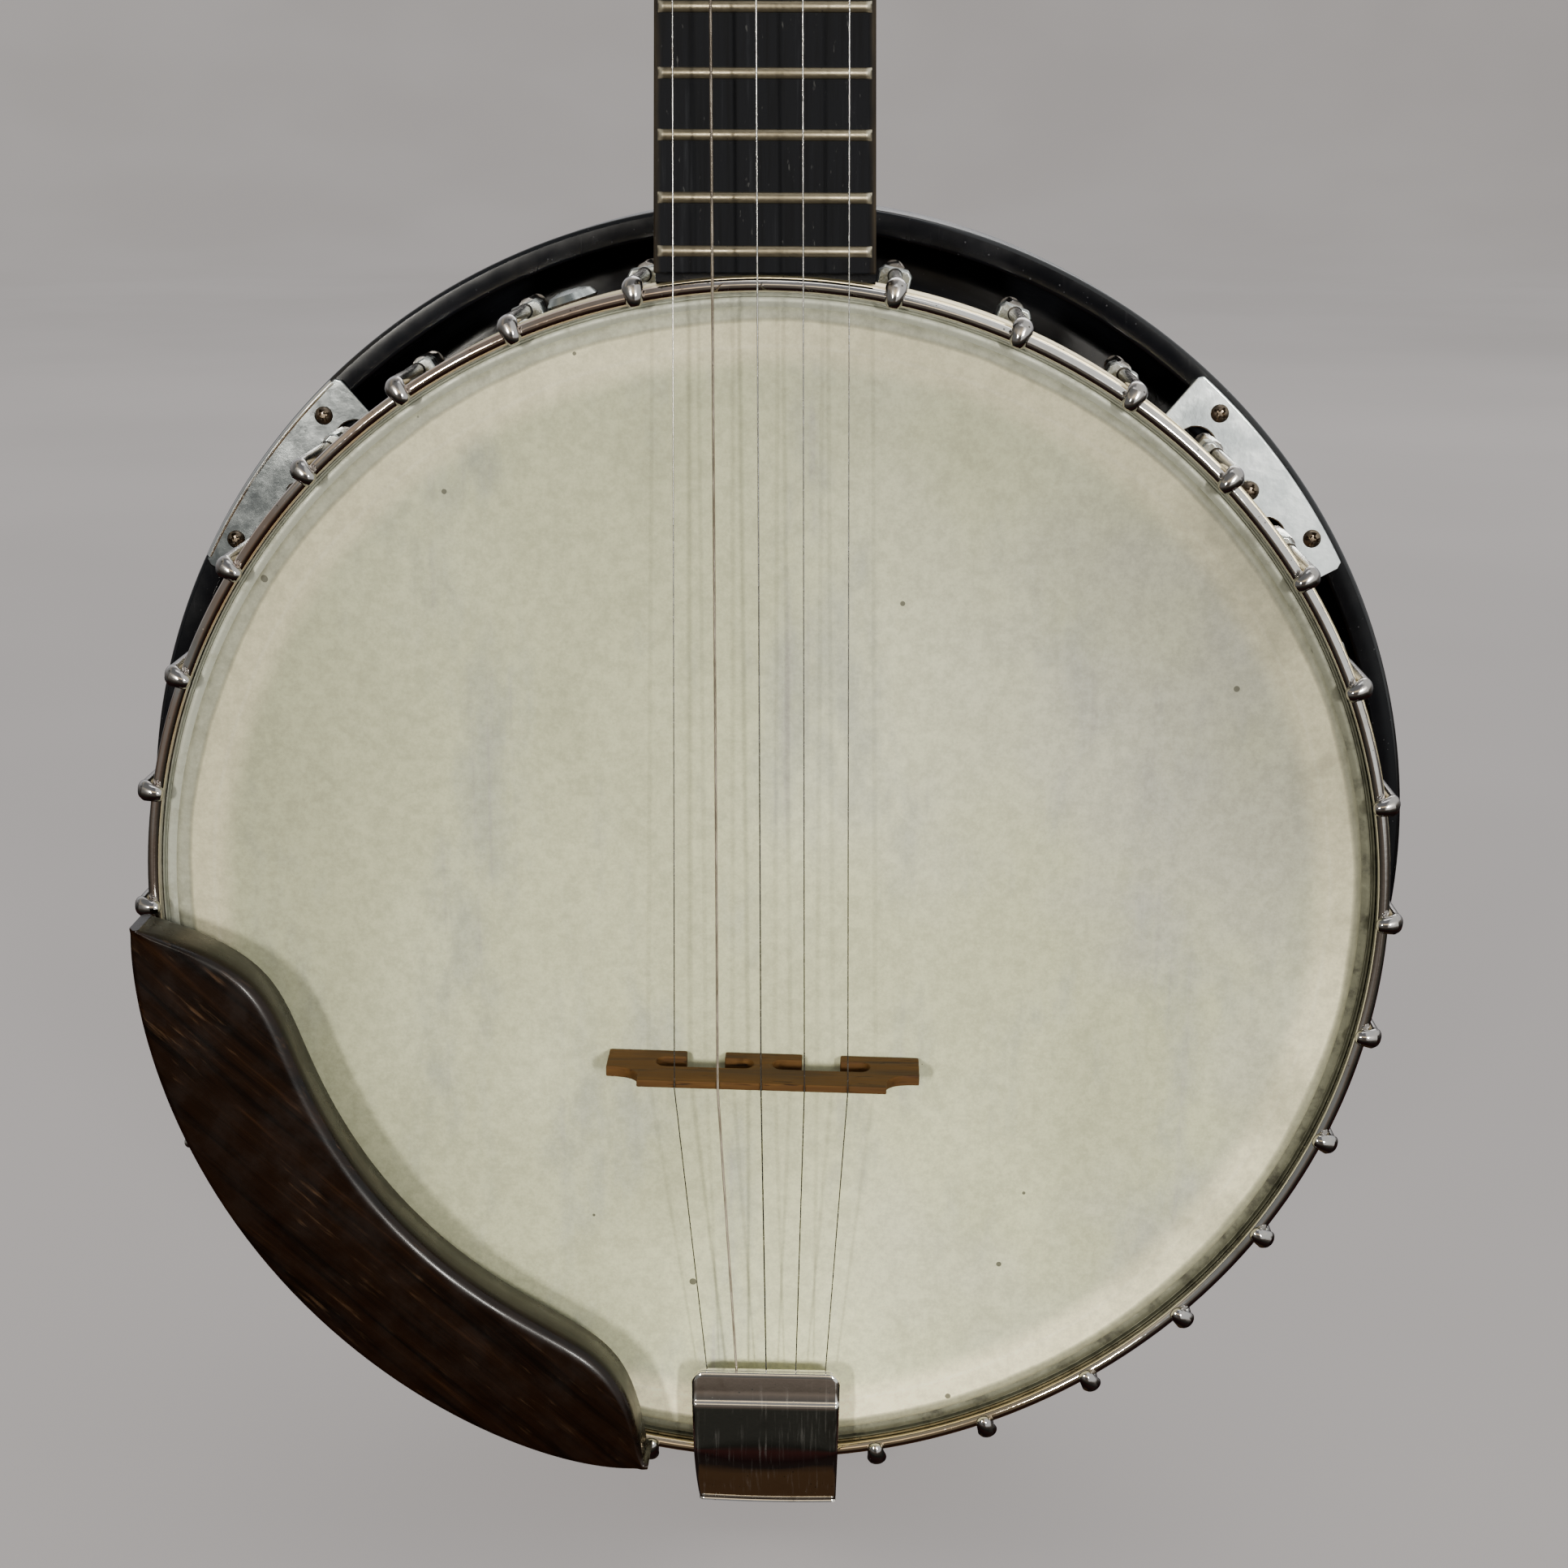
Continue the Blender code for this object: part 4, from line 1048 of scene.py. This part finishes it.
def cover_line(t):
    """The cover's outer side at a share t of its half width, lip to hinge, as (up, depth).

    Below the raised crease the face turns downwards over a zone that is broad in the middle and
    narrow at the sides."""
    line = [
        (-117.15, -7.5), (-117.05, -8.25), (-117.3, -8.48), (-118.4, -8.6), (-121.5, -8.9),
        (-123.9, -9.1)
    ]
    line += [(-124.4, -9.28), (-124.8, -9.55), (-125.15, -9.75), (-125.7, -9.84)]
    middle = max(0.0, 1 - t * t)
    centre, half = -138.0 - 1.5 * middle, 0.5 + 6.0 * middle
    up, depth = line[-1]
    while up > -159.2:
        step = 0.62
        share = min(1.0, max(0.0, (centre + half - up) / (2 * half)))
        share = share * share * (3 - 2 * share)
        steep = 19 + 24 * max(0.0, (-138 - up) / 22)
        up -= step
        depth += step * math.tan(math.radians(2.5 + (steep - 2.5) * share))
        line.append((up, depth))
    return line + [(up - 0.35, depth), (up - 0.75, depth - 0.4)]


def make_tail_cover():
    """The sprung cover: a bent sheet with rounded front corners, and a cheek down each side."""
    bm = bmesh.new()
    columns = 36
    spread = [math.sin(math.pi / 2 * (2 * c / columns - 1)) for c in range(columns + 1)]
    lines = [cover_line(t) for t in spread]
    rows = []
    for j in range(len(lines[0])):
        row = []
        for t, line in zip(spread, lines):
            up, depth = line[j]
            down = (-117.0 - up) / 43.0
            corner = 2.6 * max(0.0, (abs(t) - 0.84) / 0.16) ** 2.4 * max(0.0, 1 - down * 9)
            edge = 0.6 * max(0.0, (abs(t) - 0.95) / 0.05) ** 2
            row.append(at(TAIL_X + t * (COVER_HALF - 0.15 - 0.9 * down), depth + edge, up - corner))
        rows.append(row)
    front = [[bm.verts.new(p) for p in row] for row in rows]
    back = [[bm.verts.new(p + Vector((0, MM, 0))) for p in row] for row in rows]
    last = len(rows) - 1
    for j in range(last):
        for i in range(columns):
            bm.faces.new((front[j][i], front[j][i + 1], front[j + 1][i + 1], front[j + 1][i]))
            bm.faces.new((back[j][i], back[j + 1][i], back[j + 1][i + 1], back[j][i + 1]))
        for i in (0, columns):
            bm.faces.new((front[j][i], front[j + 1][i], back[j + 1][i], back[j][i]))
    for j in (0, last):
        for i in range(columns):
            bm.faces.new((front[j][i], back[j][i], back[j][i + 1], front[j][i + 1]))
    piece(
        "tail_cover", bm, TAIL_CHROME, body="cover", slot="chrome", replaces=("tailpiece_cover",),
        sharp=50
    )
    left, right = TAIL_X - COVER_HALF, TAIL_X + COVER_HALF
    cheek = [(up, depth + 0.9) for up, depth in cover_line(1)[4:-2:3]]
    cheek += [(-159.0, 5.0), (-156.0, 5.6), (-152.8, 4.4), (-148.5, -2.0), (-140.0, -5.2), (-120.5, -6.6)]
    for name, low in (("left", left + 1.0), ("right", right - 2.0)):
        bevel(
            profiled(
                f"cover_cheek_{name}", cheek, low, low + 1.0, TAIL_CHROME, body="cover", slot="chrome"
            ),
            0.25, 2
        )


def make_tailpiece():
    front = ((-118.6, -4.9), (-146.2, -4.1), (-149.6, -2.4), (-150.9, 1.0), (-150.9, 14))
    back = ((-149.4, 14), (-149.4, 1.2), (-148.4, -1.4), (-145.9, -2.6), (-118.6, -3.3))
    bevel(
        profiled(
            "tail_base_plate", front + back, TAIL_X - 15.6, TAIL_X + 15.6, TAIL_CHROME, slot="chrome",
            replaces=("tailpiece_base",)
        ),
        0.3, 2
    )
    half = ((15.6, 13), (7, 24), (7, 49), (4, 52))
    outline = [(x, d) for x, d in half] + [(-x, d) for x, d in reversed(half)]
    bevel(
        extruded(
            "tail_strap", [at(TAIL_X + x, d, -150.9) for x, d in outline], Vector((0, 0, 1.5 * MM)),
            TAIL_CHROME, slot="chrome"
        ),
        0.3, 2
    )
    swept(
        "hinge_pin", [(at(TAIL_X + x, HINGE[1] - BEAD_Y, HINGE[2]), 1.5) for x in (-16.2, 16.2)], 20,
        STEEL, slot="steel"
    )
    bevel(
        profiled(
            "hinge_web", ((-150.6, 1.9), (-155.2, 2.0), (-155.2, 4.0), (-150.6, 4.1)), TAIL_X - 6,
            TAIL_X + 6, TAIL_CHROME, slot="chrome"
        ),
        0.3, 2
    )
    for i, across in enumerate(TAIL_STRING_X, 1):
        pin = ((-4.0, 0.8), (-5.2, 0.8), (-5.3, 1.15), (-5.5, 1.15), (-5.6, 0.5))
        swept(f"string_pin_{i}", [(at(across, d, -143.4), r) for d, r in pin], 14, STEEL, slot="steel")
    bolt = ((-150.9, 4.6), (-151.4, 4.6), (-151.4, 3.9), (-154.6, 3.9), (-155.0, 3.4))
    swept("tail_bolt", [(at(TAIL_X, ROD_DEPTH, z), r) for z, r in bolt], 6, STEEL, slot="steel")


def make_armrest():
    """Sections round the hoop, each a rounded slab whose inner edge has a broad soft corner."""
    start, end = 270.0, 191.3
    outer, inner = 146.2 - 0.2, 112.5
    rings = []
    steps = 72
    for i in range(steps + 1):
        share = (1 - math.cos(math.pi * i / steps)) / 2
        degrees = start + (end - start) * share
        out = math.exp(-(start - degrees) / 3.8) + math.exp(-(degrees - end) / 3.8)
        reach = outer - 4.5 * math.exp(-(degrees - end) / 5.5) - 1.0 * math.exp(-(start - degrees) / 4)
        near = min(inner + 31 * out, reach - 2.5)
        width = reach - near
        soft = min(3.4, width * 0.42)
        edge = min(1.6, width * 0.25)
        section = [
            (near, ARM_BACK - 0.8), (near + 0.5, ARM_BACK - 0.15), (near + 1.1, ARM_BACK),
            (reach - 1.4, ARM_BACK)
        ]
        section += [(reach - 0.4, ARM_BACK - 0.4), (reach, ARM_BACK - 1.4)]
        section += arc((reach - edge, ARM_FRONT + edge + 1.2), edge, 0, -90, 5)
        section += [(near + width * 0.6, ARM_FRONT + 0.35)]
        section += arc((near + soft, ARM_FRONT + soft), soft, 270, 180, 8)
        rings.append([around(r, d, degrees) for r, d in section])
    armrest = lofted("armrest_wood", rings, WALNUT, slot="walnut", replaces=("armrest",), sharp=50)
    bevel(armrest, 0.8, 3, 50)
    for number, degrees in enumerate((214.0, 247.0), 1):
        radius = HOOK_R + 2.0
        path = [around(radius - 12, ARM_BACK + 0.3, degrees), around(radius - 3, ARM_BACK + 0.5, degrees)]
        path += [
            around(radius + 1.0, ARM_BACK + 1.6, degrees), around(radius + 1.6, 2, degrees),
            around(radius + 1.6, 20, degrees)
        ]
        swept(f"armrest_post_{number}", [(point, 1.5) for point in path], 14, STEEL, slot="steel")
        outline = [(RIM_R + 5.2, -5), (radius + 3.4, -5), (radius + 3.4, 5), (RIM_R + 5.2, 5)]
        spin = Matrix.Rotation(math.radians(degrees), 4, "Y")
        bevel(
            extruded(
                f"armrest_clamp_{number}", [spin @ at(x, 15.5, r) for r, x in outline],
                Vector((0, 5 * MM, 0)), STEEL, slot="steel"
            ),
            0.8
        )


# Neck


def neck_ring(z, top, back, sides=20, inset=0.0):
    left, right = board_edges(z)
    left, right = left + inset, right - inset
    middle, half = (left + right) / 2, (right - left) / 2
    ring = []
    for k in range(sides + 1):
        turn = math.pi * k / sides
        bulge = (back - top) * math.sin(turn) ** 0.75
        ring.append(at(middle - half * math.cos(turn), top + bulge, z))
    return ring


def make_neck():
    """Heel, shaft and volute in one loft that stops short of the hoop and the rim."""
    top = BOARD_BACK + 0.2
    stations = ((NUT_Z + 5, HEAD_THICK), (560, 16.0), (FIFTH_STEP_Z + 3, 17.2))
    stations += ((FIFTH_STEP_Z - 2, 17.4), (360, 18.4), (240, 19.2), (214, 19.8))
    stations += ((202, 21.2), (192, 24.5), (182, 30.0), (173, 36.5), (165, 41.0))
    stations += ((157, 43.4), (150.0, 44.2))
    rings = [neck_ring(NUT_Z + 20, top + 4.4, top + 17.0)]
    rings += [neck_ring(z, top, top + thick) for z, thick in stations]
    last = []
    for point in neck_ring(150.0, top, top + 44.2):
        x, depth = point.x / MM, point.y / MM - BEAD_Y
        seat = BEAD_R + 2.3 if depth < HOOP_BACK + 1.2 else RIM_R + 0.4
        last.append(at(x, depth, math.sqrt(seat**2 - x * x)))
    rings.append(last)
    lofted("neck_shaft", rings, NECK_LACQUER, slot="black_lacquer", replaces=("neck",), sharp=50)

    outline = headstock_outline()
    face = [on_headstock(across, up, 0) for across, up in outline]
    bevel(
        extruded(
            "headstock", face, on_headstock(0, 0, -HEAD_THICK) - on_headstock(0, 0, 0), NECK_LACQUER,
            slot="black_lacquer", sharp=30
        ),
        1.2, 3, 50
    )
    inner = [(a * 0.93, 4 + u * 0.955) for a, u in outline]
    extruded(
        "headstock_veneer", [on_headstock(a, u, 0.0) for a, u in inner],
        on_headstock(0, 0, 0.25) - on_headstock(0, 0, 0), BOARD, slot="ebony", sharp=30
    )


def headstock_outline():
    half = [(17.0, 0), (18.5, 9), (27, 20), (32, 31), (32.5, 52), (29.5, 70), (29, 84)]
    half += [(32, 98), (33, 112), (29, 124), (25, 132), (24, 141), (17, 151), (7, 156.5), (0, 158)]
    curve = smooth_path([Vector((a, u, 0)) for a, u in half], 3)
    right = [(p.x, p.y) for p in curve]
    return right + [(-a, u) for a, u in reversed(right[:-1])]


def make_fingerboard():
    rings = []
    for z in (BOARD_END_Z, 250, 360, FIFTH_STEP_Z - 0.01, FIFTH_STEP_Z + 1.5, 560, NUT_Z - 0.3):
        left, right = board_edges(z)
        rings.append(
            [
                at(left, BOARD_TOP, z), at(right, BOARD_TOP, z), at(right, BOARD_BACK, z),
                at(left, BOARD_BACK, z)
            ]
        )
    board = lofted("board_slab", rings, BOARD, slot="ebony", replaces=("fingerboard",))
    bevel(board, 0.45, 3, 50)
    crown = [math.pi * k / 8 for k in range(8, -1, -1)]
    for number in range(1, FRET_COUNT + 1):
        z = fret_z(number) + (FRET_SHIFT if number < FIRST_LOW_FRET else LOW_FRET_SHIFT)
        left, right = board_edges(z)
        left, right = left + 0.9, right - 0.9
        rings = []
        ends = ((left, 0.0), (left + 0.55, 0.7), (left + 1.05, 1.0))
        ends += ((right - 1.05, 1.0), (right - 0.55, 0.7), (right, 0.0))
        for x, lift in ends:
            ring = []
            for t in crown:
                height = max(1.08 * math.sin(t) * lift, 0.02)
                ring.append(at(x, BOARD_TOP - height, z + 1.2 * math.cos(t)))
            ring += [at(x, BOARD_TOP + 0.4, z + 1.0), at(x, BOARD_TOP + 0.4, z - 1.0)]
            rings.append(ring)
        lofted(f"fret_{number:02d}", rings, FRET_METAL, slot="nickel", sharp=40)
    for number in (3, 5, 7, 10, 12, 15, 17):
        z = (fret_z(number) + fret_z(number - 1)) / 2
        left, right = board_edges(z)
        for shift in (-9, 9) if number == 12 else (0,):
            middle = (left + right) / 2 + shift
            path = [(at(middle, BOARD_TOP + d, z), 2.6) for d in (0.5, -0.06)]
            bm = bmesh.new()
            sweep(bm, path, 24)
            tag = "" if shift == 0 else ("a" if shift < 0 else "b")
            piece(f"position_dot_{number:02d}{tag}", bm, PEARL, slot="pearl_plastic")
    path = [
        (at(NUT_X[4], d, FIFTH_STEP_Z - 3.5), r) for d,
        r in ((1.0, 1.25), (-1.2, 1.25), (-1.5, 0.9), (-1.55, 0.3))
    ]
    swept("fifth_pip", path, 16, BONE, slot="bone")


def make_nut():
    left, right = board_edges(NUT_Z)
    marks = sorted(NUT_X[:4])
    rings = []
    across = [left + 0.05]
    for x in marks:
        across += [x - 0.55, x - 0.3, x, x + 0.3, x + 0.55]
    across.append(right - 0.05)
    for x in across:
        off = min(abs(x - m) for m in marks)
        top = -1.75 + (0.45 if off < 0.1 else 0.3 if off < 0.4 else 0)
        section = ((top, 0.1), (top, 2.0), (top + 0.5, 4.8), (BOARD_BACK, 4.8), (BOARD_BACK, 0.1))
        rings.append([at(x, depth, NUT_Z + up) for depth, up in section])
    lofted("nut_block", rings, BONE, slot="bone", replaces=("string_nut",), sharp=30)


def tuner_path(across, up, steps):
    return [(on_headstock(across, up, out), radius) for out, radius in steps]


def make_tuners():
    for number, (across, up) in enumerate(TUNERS, 1):
        post = (
            (-9.5, 3.1), (4.3, 3.1), (5.0, 2.75), (5.8, 2.5), (7.4, 2.5), (8.4, 2.9), (9.2, 3.1),
            (15.2, 3.1), (15.9, 2.6), (16, 0.4)
        )
        swept(
            f"post_{number}_shaft", tuner_path(across, up, post), 28, STEEL, body=f"post_{number}",
            slot="nickel", replaces=(f"tuner_post_{number}",)
        )
        swept(
            f"bushing_{number}",
            tuner_path(
                across, up, ((-0.1, 6.6), (0.7, 6.6), (1.1, 5.6), (1.1, 5.0), (3.0, 4.7), (3.3, 4.2))
            ),
            6, STEEL, slot="nickel"
        )
        housing = (
            (-14.9, 9.4), (-15.8, 9.4), (-16.2, 8.4), (-25.0, 8.2), (-25.6, 8.5), (-27.2, 8.5),
            (-28.0, 7.6), (-28.0, 3.0)
        )
        swept(f"tuner_housing_{number}", tuner_path(across, up, housing), 40, CHROME, slot="nickel")
        button = [
            (-21, 2.2), (-30, 2.2), (-30.2, 4.4), (-30.9, 6.4), (-32.2, 8.4), (-34.5, 9.8), (-37.5, 10.4)
        ]
        button += [(-40.0, 9.8), (-41.4, 8.2), (-41.9, 5.0), (-42.0, 2.0)]
        bm = bmesh.new()
        sweep(bm, tuner_path(across, up, button), 36)
        axis = on_headstock(across, up, 0)
        middle = on_headstock(across, up, -36)
        squash = Matrix.Scale(0.55, 4, Vector((0, math.sin(HEAD_TILT), math.cos(HEAD_TILT))))
        knob = [v for v in bm.verts if (v.co - axis).length > 30.1 * MM]
        bmesh.ops.transform(bm, matrix=squash, space=Matrix.Translation(-middle), verts=knob)
        piece(
            f"button_{number}_knob", bm, PEARL, body=f"button_{number}", slot="pearl_plastic",
            replaces=(f"tuner_button_{number}",), sharp=50
        )
        swept(
            f"button_screw_{number}",
            tuner_path(across, up, ((-41.8, 2.4), (-42.6, 2.4), (-42.9, 1.8), (-43.0, 0.3))), 20, STEEL,
            body=f"button_{number}", slot="nickel"
        )


def make_fifth_peg():
    depth = PEG[1] - BEAD_Y

    def along(steps):
        return [(at(PEG[0] + x, depth, PEG[2]), radius) for x, radius in steps]

    metal = (
        (6.0, 2.5), (-0.5, 2.5), (-0.6, 3.9), (-1.4, 3.9), (-1.6, 2.9), (-2.6, 2.5), (-4.0, 2.5),
        (-5.4, 3.0)
    )
    metal += ((-6.0, 5.4), (-7.0, 6.0), (-13.0, 6.0), (-13.8, 5.4), (-14, 2.3), (-18.4, 2.3))
    swept(
        "peg_barrel", along(metal), 32, CHROME, body="peg", slot="nickel", replaces=("fifth_peg",),
        sharp=30
    )
    knob = (
        (-17.6, 3.4), (-18.4, 5.4), (-20.6, 8.0), (-24, 9.2), (-28.6, 9.3), (-31.2, 7.6), (-31.8, 4.6),
        (-31.9, 1.5)
    )
    bm = bmesh.new()
    sweep(bm, along(knob), 32)
    middle = at(PEG[0] - 25, depth, PEG[2])
    squash = Matrix.Scale(0.5, 4, Vector((0, 1, 0)))
    bmesh.ops.transform(bm, matrix=squash, space=Matrix.Translation(-middle), verts=bm.verts[:])
    piece("peg_knob", bm, PEARL, body="peg", slot="pearl_plastic", sharp=50)


def make_rod():
    swept(
        "rod", [(at(0, ROD_DEPTH, z), 4.5) for z in (RIM_R - 0.4, -148.4)], 28, STEEL, slot="steel",
        replaces=("coordinator_rod",)
    )
    for name, z, sign in (("neck", RIM_IN - 1.8, -1), ("tail", -RIM_IN + 1.8, 1)):
        swept(
            f"rod_nut_{name}",
            [
                (at(0, ROD_DEPTH, z + sign * s), r) for s,
                r in ((-1.6, 9.5), (-0.4, 9.5), (-0.4, 8.0), (5.4, 8.0))
            ],
            6, STEEL, slot="steel"
        )


def make_side_stud():
    """A domed bolt on the rim's side, between the first two hooks on the fifth string's side."""
    spin = Matrix.Rotation(math.radians(-18.3), 4, "Y")
    path = [
        (spin @ at(0, 31, r), size) for r,
        size in (
            (RIM_R - 0.5, 4.6), (RIM_R + 5.4, 4.6), (RIM_R + 6.4, 6.0), (RIM_R + 7.0, 6.2),
            (RIM_R + 8.6, 5.0), (RIM_R + 9.3, 2.6), (RIM_R + 9.5, 0.4)
        )
    ]
    swept("side_stud", path, 28, SHOE_NICKEL, slot="chrome")


# Stage


def lamp(name, location, target, size, energy, colour):
    data = bpy.data.lights.new(name, "AREA")
    data.shape = "RECTANGLE"
    data.size, data.size_y = size
    data.energy = energy
    data.color = colour
    obj = bpy.data.objects.new(name, data)
    bpy.context.scene.collection.objects.link(obj)
    obj.location = location
    obj.rotation_euler = (Vector(target) - Vector(location)).to_track_quat("-Z", "Y").to_euler()
    return obj


def make_floor():
    """A wide pale floor that curves up into a wall far away, seen directly but not in the gloss."""
    floor_z = CAD_BOX[0].z - 0.012
    rise = 2.0
    section = [(r, floor_z) for r in (0.001, 1.0, 3.0, 5.0)]
    section += [
        (
            5 + rise * math.sin(t), floor_z + rise * (1 - math.cos(t))
        ) for t in steps_between(0, math.pi / 2, 12)
    ]
    section += [(5 + rise, 7.0)]
    bm = bmesh.new()
    loft(
        bm, [[Vector((r * math.cos(t), r * math.sin(t), z)) for t in circle(72)] for r, z in section],
        caps=False
    )
    floor = bpy.data.objects.new("floor", smooth_mesh("floor", bm, floor_material(), 60))
    bpy.context.scene.collection.objects.link(floor)
    floor.visible_glossy = False
    floor.visible_diffuse = False


def make_world():
    """Room light that changes with height: bright above and in front, darker below, brown at the floor,
    and windows to the right, to the left and behind."""
    world = bpy.data.worlds.new("studio")
    bpy.context.scene.world = world
    world.use_nodes = True
    p = Nodes(world.node_tree, "Generated")
    x, y, z = p.split()
    uneven = p.times(p.minus(p.noise(4, 3, 0.55), 0.5), 0.1)
    height = p.plus(p.minus(z, p.times(y, 0.3)), uneven)
    bands = (
        (-1.05, (0.048, 0.026, 0.013)),
        (-0.985, (0.052, 0.029, 0.015)),
        (-0.945, (0.014, 0.01, 0.009)),
        (-0.8, (0.012, 0.006, 0.006)),
        (-0.56, (0.03, 0.011, 0.01)),
        (-0.46, (0.014, 0.014, 0.012)),
        (-0.34, (0.03, 0.03, 0.026)),
        (-0.12, (0.09, 0.075, 0.062)),
        (0.02, (0.2, 0.165, 0.14)),
        (0.2, (0.1, 0.095, 0.09)),
        (0.48, (0.26, 0.25, 0.24)),
        (0.6, (2.1, 1.7, 1.1)),
        (0.71, (0.3, 0.3, 0.31)),
        (1.05, (0.26, 0.27, 0.29)),
    )
    share = p.math("MULTIPLY_ADD", height, 1 / 2.2, 0.5)
    colour = p.ramp(share, *[((low + 1.1) / 2.2, tone) for low, tone in bands], smooth=False)
    front = p.span(height, -0.1, 0.1)
    right = p.times(p.span(x, 0.17, 0.29), front)
    left = p.times(p.span(p.times(x, -1), 0.17, 0.3), front)
    colour = p.mix(p.times(right, 0.9), colour, (1.1, 1.13, 1.12))
    colour = p.mix(p.times(left, 0.8), colour, (0.24, 0.25, 0.25))
    behind = p.times(p.span(y, 0.25, 0.8), p.span(z, -0.4, 0.5))
    colour = p.mix(p.times(behind, 0.85), colour, (0.95, 0.96, 1.0))
    p.wire(p.tree.nodes["Background"], "Color", colour)


def make_lamps():
    """Two narrow lamps beside the camera, for each string's twin shadows, and soft fill."""
    centre = at(0, 0, 0)
    lamp("lamp_left", centre + Vector((-0.95, -2.5, 0.5)), centre, (0.16, 0.42), 55, (1.0, 0.96, 0.88))
    lamp("lamp_right", centre + Vector((1.12, -2.5, 0.55)), centre, (0.16, 0.42), 55, (1.0, 0.97, 0.91))
    lamp("sky", Vector((0.2, -0.3, 2.6)), Vector((0, 0, 0.1)), (1.2, 0.8), 7, (0.97, 0.985, 1.0))
    lamp("back_fill", Vector((0.5, 2.6, 1.6)), Vector((0, 0, 0.3)), (2.0, 1.6), 26, (1, 0.99, 0.97))


CAMERA_TARGET = (4.61, 0, 31.33)
CAMERA_DISTANCE = 0.5246  # metres
CAMERA_ANGLES = (1.82, 16.16, 0.2)  # azimuth, elevation and roll, in degrees
FOCAL_SHARE = 2800 / 1932  # focal length over the sensor's width


def make_camera():
    """A 52 mm lens half a metre from the head, up and a little to the right of the pot's axis."""
    data = bpy.data.cameras.new("camera")
    data.sensor_width = 36.0
    data.lens = data.sensor_width * FOCAL_SHARE
    data.clip_start = 0.01
    camera = bpy.data.objects.new("camera", data)
    bpy.context.scene.collection.objects.link(camera)
    azimuth, elevation, roll = (math.radians(v) for v in CAMERA_ANGLES)
    back = Vector(
        (
            math.sin(azimuth) * math.cos(elevation), -math.cos(azimuth) * math.cos(elevation),
            math.sin(elevation)
        )
    )
    camera.location = at(*CAMERA_TARGET) + back * CAMERA_DISTANCE
    turn = (-back).to_track_quat("-Z", "Y").to_matrix().to_4x4() @ Matrix.Rotation(roll, 4, "Z")
    camera.rotation_euler = turn.to_euler()
    bpy.context.scene.camera = camera


make_camera()
make_head()
make_hoop()
make_hooks()
make_rim()
make_resonator()
make_plates()
make_strings()
make_bridge()
make_tail_cover()
make_tailpiece()
make_armrest()
make_neck()
make_fingerboard()
make_nut()
make_tuners()
make_fifth_peg()
make_rod()
make_side_stud()
make_floor()
make_world()
make_lamps()

bpy.context.view_layer.update()
